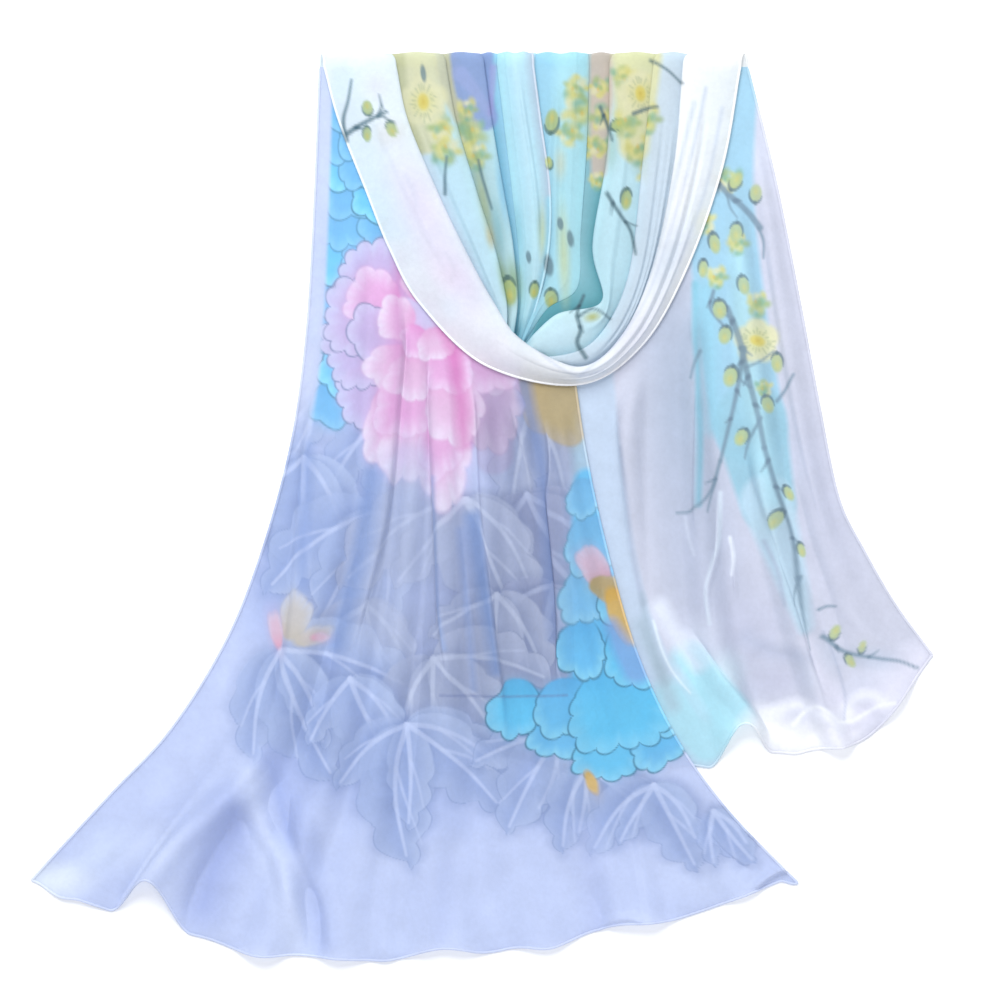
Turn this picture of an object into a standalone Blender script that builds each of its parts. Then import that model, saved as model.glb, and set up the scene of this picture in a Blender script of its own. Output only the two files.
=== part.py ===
"""Chiffon scarf laid out on a flat surface, as seven closed walls of cloth.

One rectangle of sheer cloth, cut 1.50 m by 0.50 m, lies in four stretches. The short tail is the
lowest layer, the long tail lies over it, and between the two the strip turns over at the top
edge, runs down, around and up again as a cowl loop (the swag) of nested pleats.

Every wall is a height field: a plan point and the height of its underside. The underside rests
flat at z = 0, or just clear of the cloth that it lies on, and rises only along its folds.
Tables are in millimetres, with +X to the right, +Y to the top fold and +Z up.
"""

import math
from typing import NamedTuple

import bpy
from mathutils import Vector

MM = 0.001
CENTRE = Vector((-0.9, -0.787, 0.0))  # middle of the laid outline, which becomes the origin

WALL = 1.2  # thickness of a cloth wall, across the cloth
SEAM_GAP = 0.3  # between two stretches that the real cloth joins
LAYER_CLEARANCE = 0.45  # between two layers that lie on each other
LAYER = WALL + LAYER_CLEARANCE
STEEPEST = 0.35  # least cosine of a slope that the wall is thickened for

TOP_LINE = 262.5  # Y where both tails and the swag meet the top fold
FOLD_DEPTH = 8.4  # how far the top fold bulges past TOP_LINE
FOLD_DIP = 1.1  # how much less it bulges in the valleys between its pleats
FOLD_STEPS = 8

PRESS_MARGIN = 6.0  # a fold is flat this far before it goes under another layer
PRESS_WIDTH = 26.0  # and dies away over this distance before that
COVER_RISE = 18.0  # over this distance a layer climbs on to the one below it
COVER_MARGIN = 12.0  # it lies at full height this far before the lower layer's edge
HEM_START = 0.80  # share of a tail's length where its hem's waves begin


class Section(NamedTuple):
    """One cross-section of a tail: how far down it is, its two ends and its sag in plan."""

    down: float
    left_x: float
    left_y: float
    right_x: float
    right_y: float
    sag: float


class Fold(NamedTuple):
    """One ridge down a tail: its share of the width, rise and half width at top, middle and hem."""

    name: str
    at_top: float
    at_middle: float
    at_hem: float
    rise_top: float
    rise_middle: float
    rise_hem: float
    width_top: float
    width_middle: float
    width_hem: float


class HemWave(NamedTuple):
    """Where the hem is drawn up (or let down, if negative) from its even arc."""

    name: str
    at: float
    pull: float
    half_width: float


class Pleat(NamedTuple):
    """One crest or valley line of the swag, a U around the pole of the top edge.

    The first nine columns are its distance from the pole at the nine BEARINGS, and the last
    three are its rise at the left end, the base and the right end.
    """

    name: str
    left: float
    left_60: float
    left_30: float
    left_12: float
    base: float
    right_12: float
    right_30: float
    right_60: float
    right: float
    rise_left: float
    rise_base: float
    rise_right: float


LONG_SECTIONS = (
    Section(0.00, -98.0, 262.5, 28.6, 262.5, 0.0),
    Section(0.17, -101.1, 182.7, 40.5, 180.0, 2.0),
    Section(0.33, -105.9, 102.9, 51.5, 98.0, 6.0),
    Section(0.45, -114.9, 38.1, 61.0, 32.0, 13.0),
    Section(0.57, -132.3, -26.7, 74.5, -30.0, 22.0),
    Section(0.68, -153.9, -81.3, 91.5, -88.0, 31.0),
    Section(0.80, -187.5, -135.3, 115.5, -140.1, 42.0),
    Section(0.90, -224.0, -174.5, 142.5, -176.0, 48.0),
    Section(1.00, -270.9, -225.3, 188.5, -221.0, 50.5),
)
LONG_SAG_POWER = 2.0
LONG_FOLDS = (
    Fold("left border", 0.07, 0.08, 0.06, 2.0, 3.5, 2.0, 9.0, 13.0, 22.0),
    Fold("notch", 0.17, 0.17, 0.154, 2.5, 6.0, 13.0, 9.0, 17.0, 23.0),
    Fold("hollow side", 0.31, 0.30, 0.30, 3.0, 6.5, 7.5, 10.0, 15.0, 20.0),
    Fold("centre left", 0.45, 0.41, 0.40, 3.0, 6.0, 5.0, 9.0, 13.0, 22.0),
    Fold("centre", 0.55, 0.53, 0.54, 3.5, 8.0, 7.0, 9.0, 14.0, 30.0),
    Fold("centre right", 0.66, 0.65, 0.67, 3.0, 6.5, 3.5, 8.0, 13.0, 25.0),
    Fold("right", 0.80, 0.79, 0.79, 2.5, 6.0, 6.5, 8.0, 13.0, 30.0),
    Fold("right edge", 0.93, 0.93, 0.93, 2.0, 3.5, 3.0, 6.0, 9.0, 15.0),
)
LONG_HEM = (
    HemWave("corner", 0.035, -3.0, 14.0),
    HemWave("notch", 0.154, 27.0, 25.0),
    HemWave("low left", 0.29, -4.0, 32.0),
    HemWave("centre", 0.538, 7.5, 38.0),
    HemWave("centre right", 0.63, 4.0, 26.0),
    HemWave("right", 0.755, 7.0, 44.0),
    HemWave("tip", 1.0, -6.0, 12.0),
)

SHORT_SECTIONS = (
    Section(0.00, 31.2, 262.5, 158.2, 262.5, 0.0),
    Section(0.18, 29.8, 190.0, 174.9, 194.7, 2.0),
    Section(0.36, 27.0, 118.0, 189.3, 122.7, 7.0),
    Section(0.53, 18.0, 50.0, 201.3, 59.1, 15.0),
    Section(0.68, 8.0, -10.0, 213.2, 3.0, 27.0),
    Section(0.80, -4.0, -48.0, 228.3, -28.0, 38.0),
    Section(0.90, -15.0, -82.0, 247.0, -60.0, 49.0),
    Section(1.00, -26.1, -114.3, 269.1, -90.3, 58.0),
)
SHORT_SAG_POWER = 3.0
SHORT_FOLDS = (
    Fold("under the long tail", 0.40, 0.38, 0.40, 2.5, 5.5, 2.0, 9.0, 11.0, 16.0),
    Fold("centre", 0.61, 0.60, 0.612, 2.5, 5.0, 11.0, 9.0, 12.0, 19.0),
    Fold("raised pleat", 0.80, 0.81, 0.81, 3.0, 6.5, 8.5, 9.0, 12.0, 12.0),
    Fold("right border", 0.94, 0.94, 0.93, 2.0, 3.5, 5.0, 6.0, 9.0, 14.0),
)
SHORT_HEM = (
    HemWave("left corner", 0.10, -7.0, 26.0),
    HemWave("centre", 0.50, 4.0, 24.0),
    HemWave("notch", 0.612, 26.0, 20.0),
    HemWave("beside the notch", 0.67, 5.0, 20.0),
    HemWave("right shoulder", 0.87, -11.0, 40.0),
)

POLE_X = 38.7  # the pole lies here on TOP_LINE
BEARINGS = (-90.0, -60.0, -30.0, -12.0, 0.0, 12.0, 30.0, 60.0, 90.0)  # from straight down
PLEATS = (
    Pleat("selvedge", 134.0, 129.5, 158.5, 182.0, 190.5, 184.5, 154.6, 118.3, 115.2, 0, 0, 0),
    Pleat("band crest", 117.0, 113.5, 137.0, 168.5, 184.5, 178.0, 145.0, 105.5, 100.0, 6, 17, 6.5),
    Pleat("band inner edge", 93.3, 89.8, 111.4, 150.5, 175.0, 168.0, 131.5, 90.0, 82.0, 0, 3.5, 0.5),
    Pleat("first crest", 78.5, 78.0, 99.5, 141.0, 171.0, 161.0, 118.5, 80.5, 74.5, 5.5, 10, 5),
    Pleat("first valley", 63.1, 66.1, 87.5, 131.5, 166.5, 153.5, 104.5, 70.8, 66.2, 0, 2, 0),
    Pleat("second crest", 53.5, 58.0, 80.0, 125.0, 161.5, 147.0, 97.5, 64.5, 58.4, 5, 8, 5.5),
    Pleat("second valley", 43.7, 50.0, 73.0, 118.5, 154.5, 140.0, 90.0, 58.0, 50.4, 0, 1, 0),
    Pleat("third crest", 37.7, 42.3, 63.5, 108.0, 147.0, 129.5, 81.5, 51.0, 44.0, 5, 6.5, 5),
    Pleat("third valley", 31.7, 34.7, 53.2, 95.0, 138.5, 116.0, 70.0, 44.3, 38.0, 0, 0.5, 0),
    Pleat("fourth crest", 23.5, 25.5, 39.0, 70.0, 123.5, 96.0, 49.5, 30.0, 26.0, 5, 6, 4.5),
    Pleat("fourth valley", 16.5, 18.0, 27.5, 50.0, 107.0, 68.0, 35.0, 21.0, 18.0, 0, 0, 0),
    Pleat("inner crest", 12.8, 13.8, 20.5, 37.0, 92.0, 43.0, 18.0, 10.0, 8.5, 3.5, 4, 3.5),
    Pleat("inner selvedge", 9.0, 9.6, 14.5, 26.0, 78.0, 25.0, 8.0, 4.2, 3.5, 0, 0, 0),
)
REACH_COLUMNS = len(BEARINGS)
BASE_BEARING = 35.0  # degrees to each side of straight down where the base meets a limb
PLEAT_STEPS = 3  # columns from one crest or valley to the next
LIMB_STEPS = 9
BASE_STEPS = 20
LONG_COLUMNS = 54
LONG_ROWS = 24
SHORT_COLUMNS = 36
SHORT_ROWS = 18

BORDER_WHITE = (0.93, 0.95, 0.97)
PERIWINKLE = (0.58, 0.66, 0.90)
LAVENDER = (0.72, 0.74, 0.88)
TURQUOISE = (0.46, 0.83, 0.90)


def smooth(share):
    """0 to 1, with a level start and end."""
    share = min(max(share, 0.0), 1.0)
    return share * share * (3.0 - 2.0 * share)


def bump(distance, half_width):
    """1 on a ridge's line, falling softly to 0 at half_width."""
    return 0.5 + 0.5 * math.cos(math.pi * min(abs(distance) / half_width, 1.0))


def blend(start, end, share):
    return start + (end - start) * share


def through(knots, values, at):
    """The value at a place on a smooth curve through (knot, value) pairs, knots ascending."""
    if at <= knots[0]:
        return values[0]
    if at >= knots[-1]:
        return values[-1]
    last = len(knots) - 1
    i = next(n for n in range(last) if at <= knots[n + 1])

    def slope(n):
        before = max(n - 1, 0)
        after = min(n + 1, last)
        return (values[after] - values[before]) / (knots[after] - knots[before])

    step = knots[i + 1] - knots[i]
    t = (at - knots[i]) / step
    return (
        values[i] * (1.0 + 2.0 * t) * (1.0 - t) ** 2
        + slope(i) * step * t * (1.0 - t) ** 2
        + values[i + 1] * t * t * (3.0 - 2.0 * t)
        - slope(i + 1) * step * t * t * (1.0 - t)
    )


def section_at(sections, down):
    """The section at a distance down a tail, each of its columns read from a smooth curve."""
    knots = [s.down for s in sections]
    columns = zip(*sections)
    return Section(*[through(knots, values, down) for values in columns])


def edge_x(sections, y, side):
    """X of a tail's left or right edge at a height y in plan."""
    rows = sections[::-1]
    xs = [getattr(s, side + "_x") for s in rows]
    ys = [getattr(s, side + "_y") for s in rows]
    return through(ys, xs, y)


def sag_share(across, power):
    return 1.0 - abs(2.0 * across - 1.0) ** power


def tail_plan(sections, sag_power, hem, across, down):
    """Plan point of a tail: across 0 to 1 from its left edge, down 0 to 1 from the top fold."""
    section = section_at(sections, down)
    x = blend(section.left_x, section.right_x, across)
    y = blend(section.left_y, section.right_y, across)
    y -= section.sag * sag_share(across, sag_power)
    width = section.right_x - section.left_x
    near_hem = smooth((down - HEM_START) / (1.0 - HEM_START))
    for wave in hem:
        y += wave.pull * near_hem * bump((across - wave.at) * width, wave.half_width)
    return x, y, width


def fold_height(folds, across, down, width):
    """How far the folds lift a tail's underside, before anything presses on it."""
    stations = (0.0, 0.5, 1.0)
    height = 0.0
    for fold in folds:
        at = through(stations, (fold.at_top, fold.at_middle, fold.at_hem), down)
        rise = through(stations, (fold.rise_top, fold.rise_middle, fold.rise_hem), down)
        half = through(stations, (fold.width_top, fold.width_middle, fold.width_hem), down)
        height += rise * bump((across - at) * width, half)
    return height


def reach_at(pleat, bearing):
    """Distance in plan from the pole to a pleat line at a bearing in degrees."""
    logs = [math.log(reach) for reach in pleat[1 : 1 + REACH_COLUMNS]]
    return math.exp(through(BEARINGS, logs, bearing))


def outside_swag(x, y):
    """0 under the swag, rising to 1 where a tail's folds are free of it."""
    across = x - POLE_X
    below = TOP_LINE - y
    bearing = math.degrees(math.atan2(across, max(below, 0.0)))
    past = math.hypot(across, below) - reach_at(PLEATS[0], bearing)
    return smooth((past - PRESS_MARGIN) / PRESS_WIDTH)


def over_short_tail(x, y):
    """1 where a layer lies on the short tail's hidden part, falling to 0 clear of it."""
    from_side = x - edge_x(SHORT_SECTIONS, y, "left") + COVER_MARGIN + COVER_RISE
    hem = SHORT_SECTIONS[-1]
    across = min(max((x - hem.left_x) / (hem.right_x - hem.left_x), 0.0), 1.0)
    hem_y = blend(hem.left_y, hem.right_y, across)
    hem_y -= hem.sag * sag_share(across, SHORT_SAG_POWER) + COVER_MARGIN
    from_hem = y - hem_y + COVER_RISE
    return smooth(from_side / COVER_RISE) * smooth(from_hem / COVER_RISE)


def over_long_tail_edge(x, y):
    """1 inside the long tail's right edge, falling to 0 past it."""
    past = x - edge_x(LONG_SECTIONS, y, "right") - COVER_MARGIN
    return 1.0 - smooth(past / COVER_RISE)


def long_point(across, down):
    """Underside of the long tail."""
    x, y, width = tail_plan(LONG_SECTIONS, LONG_SAG_POWER, LONG_HEM, across, down)
    height = fold_height(LONG_FOLDS, across, down, width) * outside_swag(x, y)
    return Vector((x, y, height + LAYER * over_short_tail(x, y)))


def short_point(across, down):
    """Underside of the short tail, pressed flat where the long tail lies on it."""
    x, y, width = tail_plan(SHORT_SECTIONS, SHORT_SAG_POWER, SHORT_HEM, across, down)
    beside = x - edge_x(LONG_SECTIONS, y, "right") - PRESS_MARGIN
    free = smooth(beside / PRESS_WIDTH) * outside_swag(x, y)
    return Vector((x, y, fold_height(SHORT_FOLDS, across, down, width) * free))


def pleat_at(across):
    """The pleat line at a place across the swag, between the lines of the table."""
    columns = list(zip(*PLEATS))[1:]
    knots = range(len(PLEATS))
    place = across * (len(PLEATS) - 1)
    before = min(int(place), len(PLEATS) - 2)
    turn = smooth(place - before)
    reaches = [through(knots, column, place) for column in columns[:REACH_COLUMNS]]
    rises = [blend(column[before], column[before + 1], turn) for column in columns[REACH_COLUMNS:]]
    return Pleat("", *reaches, *rises)


def swag_point(across, bearing):
    """Underside of the swag: across 0 to 1 from its outer selvedge, bearing -90 to 90 degrees."""
    pleat = pleat_at(across)
    reach = reach_at(pleat, bearing)
    x = POLE_X + reach * math.sin(math.radians(bearing))
    y = TOP_LINE - reach * math.cos(math.radians(bearing))
    rises = (pleat.rise_left, pleat.rise_base, pleat.rise_right)
    rise = through((-90.0, 0.0, 90.0), rises, bearing)
    rest = LAYER * (1.0 + over_short_tail(x, y) * over_long_tail_edge(x, y))
    return Vector((x, y, rise + rest))


def spread(steps, start=0.0, end=1.0):
    return [blend(start, end, i / steps) for i in range(steps + 1)]


def grid(point, across, down):
    """Rows of points, one row for each place down the stretch."""
    return [[point(a, d) for a in across] for d in down]


def height_wall(under):
    """The upper face of a wall whose underside is this grid, WALL thick across the cloth."""
    rows = len(under)
    columns = len(under[0])
    upper = []
    for r in range(rows):
        line = []
        for c in range(columns):
            along = under[min(r + 1, rows - 1)][c] - under[max(r - 1, 0)][c]
            side = under[r][min(c + 1, columns - 1)] - under[r][max(c - 1, 0)]
            normal = along.cross(side).normalized()
            lean = max(abs(normal.z), STEEPEST)
            line.append(under[r][c] + Vector((0.0, 0.0, WALL / lean)))
        upper.append(line)
    return upper


def cloth_material(name, colour):
    material = bpy.data.materials.new(name)
    material.use_nodes = True
    shader = material.node_tree.nodes["Principled BSDF"]
    shader.inputs["Base Color"].default_value = (*colour, 1.0)
    shader.inputs["Roughness"].default_value = 0.7
    shader.inputs["Metallic"].default_value = 0.0
    return material


def wall_object(name, under, upper, material):
    """A closed wall between two grids of points, in metres, shaded smooth but for its edges."""
    rows = len(under)
    columns = len(under[0])
    points = [(p - CENTRE) * MM for line in under + upper for p in line]

    def at(row, column, top):
        return top * rows * columns + row * columns + column

    faces = []
    for r in range(rows - 1):
        for c in range(columns - 1):
            ring = ((r, c), (r, c + 1), (r + 1, c + 1), (r + 1, c))
            faces.append([at(i, j, 1) for i, j in ring])
            faces.append([at(i, j, 0) for i, j in ring[::-1]])
    rim = [(0, c) for c in range(columns)]
    rim += [(r, columns - 1) for r in range(1, rows)]
    rim += [(rows - 1, c) for c in range(columns - 2, -1, -1)]
    rim += [(r, 0) for r in range(rows - 2, 0, -1)]
    for here, there in zip(rim, rim[1:] + rim[:1]):
        faces.append([at(*there, 1), at(*here, 1), at(*here, 0), at(*there, 0)])

    mesh = bpy.data.meshes.new(name)
    mesh.from_pydata(points, [], faces)
    mesh.materials.append(material)
    mesh.shade_smooth()
    mesh.set_sharp_from_angle(angle=math.radians(50.0))
    wall = bpy.data.objects.new(name, mesh)
    bpy.context.scene.collection.objects.link(wall)
    if signed_volume(mesh) < 0.0:
        mesh.flip_normals()
    return wall


def signed_volume(mesh):
    """Positive where the faces point out."""
    mesh.calc_loop_triangles()
    total = 0.0
    for triangle in mesh.loop_triangles:
        a, b, c = [mesh.vertices[i].co for i in triangle.vertices]
        total += a.dot(b.cross(c))
    return total


def tail(name, point, columns, rows, material):
    under = grid(point, spread(columns), spread(rows))
    return wall_object(name, under, height_wall(under), material)


def swag_stretch(name, start, end, steps, material):
    """One stretch of the swag, from one bearing to another; a limb stands off from the base."""
    columns = PLEAT_STEPS * (len(PLEATS) - 1)
    under = grid(swag_point, spread(columns), spread(steps, start, end))
    for row, bearing, way in ((0, start, 1.0), (steps, end, -1.0)):
        if bearing == way * BASE_BEARING:
            turn = math.radians(bearing)
            apart = way * SEAM_GAP * Vector((math.cos(turn), math.sin(turn), 0.0))
            under[row] = [p + apart for p in under[row]]
    return wall_object(name, under, height_wall(under), material)


def top_fold(name, tail_point, bearing, material):
    """The turn from a tail up and over to the swag, a bent wall along the top line."""
    under = []
    upper = []
    columns = PLEAT_STEPS * (len(PLEATS) - 1)
    ends = [swag_point(a, bearing).x for a in (0.0, 1.0)]
    for step in spread(FOLD_STEPS, -90.0, 90.0):
        turn = math.radians(step)
        inner_line = []
        outer_line = []
        for across in spread(columns):
            above = swag_point(across, bearing)
            share = (above.x - ends[0]) / (ends[1] - ends[0])
            below = tail_point(share if bearing < 0.0 else 1.0 - share, 0.0)
            centre = (above.z + below.z + WALL) / 2.0
            half_height = (above.z - below.z) / 2.0
            depth = FOLD_DEPTH - FOLD_DIP * pleat_dip(across)
            x = blend(below.x, above.x, 0.5 + 0.5 * math.sin(turn))
            for line, offset in ((inner_line, -WALL / 2.0), (outer_line, WALL / 2.0)):
                y = TOP_LINE + SEAM_GAP + (depth + offset) * math.cos(turn)
                z = centre + (half_height + offset) * math.sin(turn)
                line.append(Vector((x, y, z)))
        under.append(inner_line)
        upper.append(outer_line)
    return wall_object(name, under, upper, material)


def pleat_dip(across):
    """1 in a valley of the swag and 0 on a crest."""
    return 0.5 + 0.5 * math.cos(math.pi * across * (len(PLEATS) - 1))


def build():
    white = cloth_material("chiffon_white", BORDER_WHITE)
    periwinkle = cloth_material("chiffon_periwinkle", PERIWINKLE)
    lavender = cloth_material("chiffon_lavender", LAVENDER)
    turquoise = cloth_material("chiffon_turquoise", TURQUOISE)

    tail("tail_short", short_point, SHORT_COLUMNS, SHORT_ROWS, lavender)
    tail("tail_long", long_point, LONG_COLUMNS, LONG_ROWS, periwinkle)
    top_fold("fold_left", long_point, -90.0, white)
    top_fold("fold_right", short_point, 90.0, white)
    swag_stretch("swag_left", -90.0, -BASE_BEARING, LIMB_STEPS, turquoise)
    swag_stretch("swag_base", -BASE_BEARING, BASE_BEARING, BASE_STEPS, white)
    swag_stretch("swag_right", BASE_BEARING, 90.0, LIMB_STEPS, turquoise)


for old in list(bpy.data.objects):
    bpy.data.objects.remove(old)
build()
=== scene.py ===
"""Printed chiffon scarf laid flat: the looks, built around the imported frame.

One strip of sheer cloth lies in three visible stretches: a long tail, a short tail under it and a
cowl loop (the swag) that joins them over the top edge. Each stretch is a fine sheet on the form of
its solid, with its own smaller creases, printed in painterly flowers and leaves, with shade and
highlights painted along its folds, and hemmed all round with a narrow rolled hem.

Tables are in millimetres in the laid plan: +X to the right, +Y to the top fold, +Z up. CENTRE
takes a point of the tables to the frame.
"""

import math
from typing import NamedTuple

import bpy
import numpy as np
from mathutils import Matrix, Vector


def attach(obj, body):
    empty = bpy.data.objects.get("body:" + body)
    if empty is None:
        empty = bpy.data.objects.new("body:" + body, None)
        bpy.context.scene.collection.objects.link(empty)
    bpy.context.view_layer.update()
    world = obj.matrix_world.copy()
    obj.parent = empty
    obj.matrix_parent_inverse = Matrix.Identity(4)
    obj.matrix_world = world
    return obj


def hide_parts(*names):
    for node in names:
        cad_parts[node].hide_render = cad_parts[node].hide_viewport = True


bl_info = {
    "name": "Laid Chiffon Scarf",
    "version": (1, 0, 0),
    "blender": (4, 5, 0),
    "location": "View3D > Sidebar > Scarf",
    "description": "Builds a printed chiffon scarf, laid flat with one cowl loop",
    "category": "Add Mesh",
}

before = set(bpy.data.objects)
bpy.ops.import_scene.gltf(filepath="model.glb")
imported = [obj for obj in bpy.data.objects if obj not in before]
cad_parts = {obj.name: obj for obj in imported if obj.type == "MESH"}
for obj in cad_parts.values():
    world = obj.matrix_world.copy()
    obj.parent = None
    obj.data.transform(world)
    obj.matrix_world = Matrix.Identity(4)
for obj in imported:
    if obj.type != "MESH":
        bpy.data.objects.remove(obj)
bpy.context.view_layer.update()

MM = 0.001
CENTRE = np.array((-0.9, -0.787, 0.0))


def linear(code):
    """A colour written as sRGB hex, such as "#C8D4F6", as linear red, green and blue."""
    shown = [int(code[i : i + 2], 16) / 255.0 for i in (1, 3, 5)]
    return tuple(c / 12.92 if c <= 0.04045 else ((c + 0.055) / 1.055) ** 2.4 for c in shown)


def pigment(code):
    """The same as an array, to be mixed into others."""
    return np.array(linear(code))


def table(kind, *rows):
    """Rows of one kind, each made from its plain values."""
    return tuple(kind(*row) for row in rows)


# ---- Form of the laid scarf, the same tables and rules as its solids ----

WALL = 1.2
SEAM_GAP = 0.3
LAYER_CLEARANCE = 0.45
LAYER = WALL + LAYER_CLEARANCE

TOP_LINE = 262.5
FOLD_DEPTH = 8.4
FOLD_DIP = 1.1

PRESS_MARGIN = 6.0
PRESS_WIDTH = 26.0
COVER_RISE = 18.0
COVER_MARGIN = 12.0
HEM_START = 0.80


class Section(NamedTuple):
    """One cross-section of a tail: how far down it is, its two ends and its sag in plan."""

    down: float
    left_x: float
    left_y: float
    right_x: float
    right_y: float
    sag: float


class Fold(NamedTuple):
    """One ridge down a tail: its share of the width, rise and half width at top, middle and hem."""

    name: str
    at_top: float
    at_middle: float
    at_hem: float
    rise_top: float
    rise_middle: float
    rise_hem: float
    width_top: float
    width_middle: float
    width_hem: float


class HemWave(NamedTuple):
    """Where the hem is drawn up (or let down, if negative) from its even arc."""

    name: str
    at: float
    pull: float
    half_width: float


LONG_SECTIONS = table(
    Section,
    (0.00, -98.0, 262.5, 28.6, 262.5, 0.0),
    (0.17, -101.1, 182.7, 40.5, 180.0, 2.0),
    (0.33, -105.9, 102.9, 51.5, 98.0, 6.0),
    (0.45, -114.9, 38.1, 61.0, 32.0, 13.0),
    (0.57, -132.3, -26.7, 74.5, -30.0, 22.0),
    (0.68, -153.9, -81.3, 91.5, -88.0, 31.0),
    (0.80, -187.5, -135.3, 115.5, -140.1, 42.0),
    (0.90, -224.0, -174.5, 142.5, -176.0, 48.0),
    (1.00, -270.9, -225.3, 188.5, -221.0, 50.5),
)
LONG_SAG_POWER = 2.0
LONG_FOLDS = table(
    Fold,
    ("left border", 0.07, 0.08, 0.06, 2.0, 3.5, 2.0, 9.0, 13.0, 22.0),
    ("notch", 0.17, 0.17, 0.154, 2.5, 6.0, 13.0, 9.0, 17.0, 23.0),
    ("hollow side", 0.31, 0.30, 0.30, 3.0, 6.5, 7.5, 10.0, 15.0, 20.0),
    ("centre left", 0.45, 0.41, 0.40, 3.0, 6.0, 5.0, 9.0, 13.0, 22.0),
    ("centre", 0.55, 0.53, 0.54, 3.5, 8.0, 7.0, 9.0, 14.0, 30.0),
    ("centre right", 0.66, 0.65, 0.67, 3.0, 6.5, 3.5, 8.0, 13.0, 25.0),
    ("right", 0.80, 0.79, 0.79, 2.5, 6.0, 6.5, 8.0, 13.0, 30.0),
    ("right edge", 0.93, 0.93, 0.93, 2.0, 3.5, 3.0, 6.0, 9.0, 15.0),
)
LONG_HEM = table(
    HemWave,
    ("corner", 0.035, -3.0, 14.0),
    ("notch", 0.154, 27.0, 25.0),
    ("low left", 0.29, -4.0, 32.0),
    ("centre", 0.538, 7.5, 38.0),
    ("centre right", 0.63, 4.0, 26.0),
    ("right", 0.755, 7.0, 44.0),
    ("tip", 1.0, -6.0, 12.0),
)

SHORT_SECTIONS = table(
    Section,
    (0.00, 31.2, 262.5, 158.2, 262.5, 0.0),
    (0.18, 29.8, 190.0, 174.9, 194.7, 2.0),
    (0.36, 27.0, 118.0, 189.3, 122.7, 7.0),
    (0.53, 18.0, 50.0, 201.3, 59.1, 15.0),
    (0.68, 8.0, -10.0, 213.2, 3.0, 27.0),
    (0.80, -4.0, -48.0, 228.3, -28.0, 38.0),
    (0.90, -15.0, -82.0, 247.0, -60.0, 49.0),
    (1.00, -26.1, -114.3, 269.1, -90.3, 58.0),
)
SHORT_SAG_POWER = 3.0
SHORT_FOLDS = table(
    Fold,
    ("under the long tail", 0.40, 0.38, 0.40, 2.5, 5.5, 2.0, 9.0, 11.0, 16.0),
    ("centre", 0.61, 0.60, 0.612, 2.5, 5.0, 11.0, 9.0, 12.0, 19.0),
    ("raised pleat", 0.80, 0.81, 0.81, 3.0, 6.5, 8.5, 9.0, 12.0, 12.0),
    ("right border", 0.94, 0.94, 0.93, 2.0, 3.5, 5.0, 6.0, 9.0, 14.0),
)
SHORT_HEM = table(
    HemWave,
    ("left corner", 0.10, -7.0, 26.0),
    ("centre", 0.50, 4.0, 24.0),
    ("notch", 0.612, 26.0, 20.0),
    ("beside the notch", 0.67, 5.0, 20.0),
    ("right shoulder", 0.87, -11.0, 40.0),
)

POLE_X = 38.7
BEARINGS = (-90.0, -60.0, -30.0, -12.0, 0.0, 12.0, 30.0, 60.0, 90.0)
SELVEDGE_REACH = (134.0, 129.5, 158.5, 182.0, 190.5, 184.5, 154.6, 118.3, 115.2)


class SwagLine(NamedTuple):
    """A line that the swag folds along.

    Its path goes through eleven stations: down the left limb, round the base and up the right.
    """

    name: str
    path: tuple


class SwagRidge(NamedTuple):
    """A small crease (a hollow, where rise is negative) that runs along a pleat, in places."""

    name: str
    start_place: float
    end_place: float
    start: float
    end: float
    rise: float
    half_width: float


class SwagPleat(NamedTuple):
    """A pleat between two places across the swag: its rise on the left, at the base and right.

    lean is 1 where its folded edge lies over the next pleat inwards, -1 where it lies over the
    one outwards, and 0 where it has none.
    """

    name: str
    start: float
    end: float
    rise_left: float
    rise_base: float
    rise_right: float
    lean: int


SWAG_LINES = table(
    SwagLine,
    (
        "outer selvedge",
        ((-95.3, 262.5), (-86.5, 230), (-70.5, 189), (-56, 153), (-37.5, 120), (1.5, 83.5),
         (57, 72), (94.5, 95), (121.5, 141), (143, 202), (153.9, 262.5)),
    ),
    (
        "band edge",
        ((-54.5, 262.5), (-47.5, 230), (-30.5, 189), (-13.5, 153), (3.5, 121.5), (21.5, 97),
         (57, 81), (84, 100), (103, 142), (116, 203), (121.5, 262.5)),
    ),
    (
        "first edge",
        ((-24.5, 262.5), (-18.5, 230), (-6.5, 189), (4.5, 155), (12.5, 122), (18.5, 92.5),
         (52, 89), (73.5, 104), (89, 139.5), (97, 203), (103.5, 262.5)),
    ),
    (
        "second edge",
        ((-1.5, 262.5), (3, 230), (10, 189), (16, 155), (19.5, 122), (19, 91.5),
         (44, 111.5), (71, 120), (67, 154), (76, 210), (77.5, 262.5)),
    ),
    (
        "inner pleat edge",
        ((9.5, 262.5), (13.5, 230), (18.5, 189), (22, 155), (23, 122), (19.5, 91),
         (37, 117.5), (54.5, 131), (56.5, 163.5), (60, 216), (61.5, 262.5)),
    ),
    (
        "inner pleat middle",
        ((19.5, 262.5), (23.5, 230), (29, 189), (31, 155), (28.5, 122), (20, 90.5),
         (31.5, 122), (40.5, 139), (42.5, 169.5), (43.5, 218), (45.5, 262.5)),
    ),
    (
        "inner selvedge",
        ((29.7, 262.5), (34, 230), (39.5, 189), (39, 155), (32.5, 122), (20.5, 90),
         (26, 122), (28.5, 139.5), (29.5, 169.5), (29, 218), (30.3, 262.5)),
    ),
)
LAST_PLACE = 2 * (len(SWAG_LINES) - 1)
LAST_STATION = len(SWAG_LINES[0].path) - 1
BASE_STATION = 5.7
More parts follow.
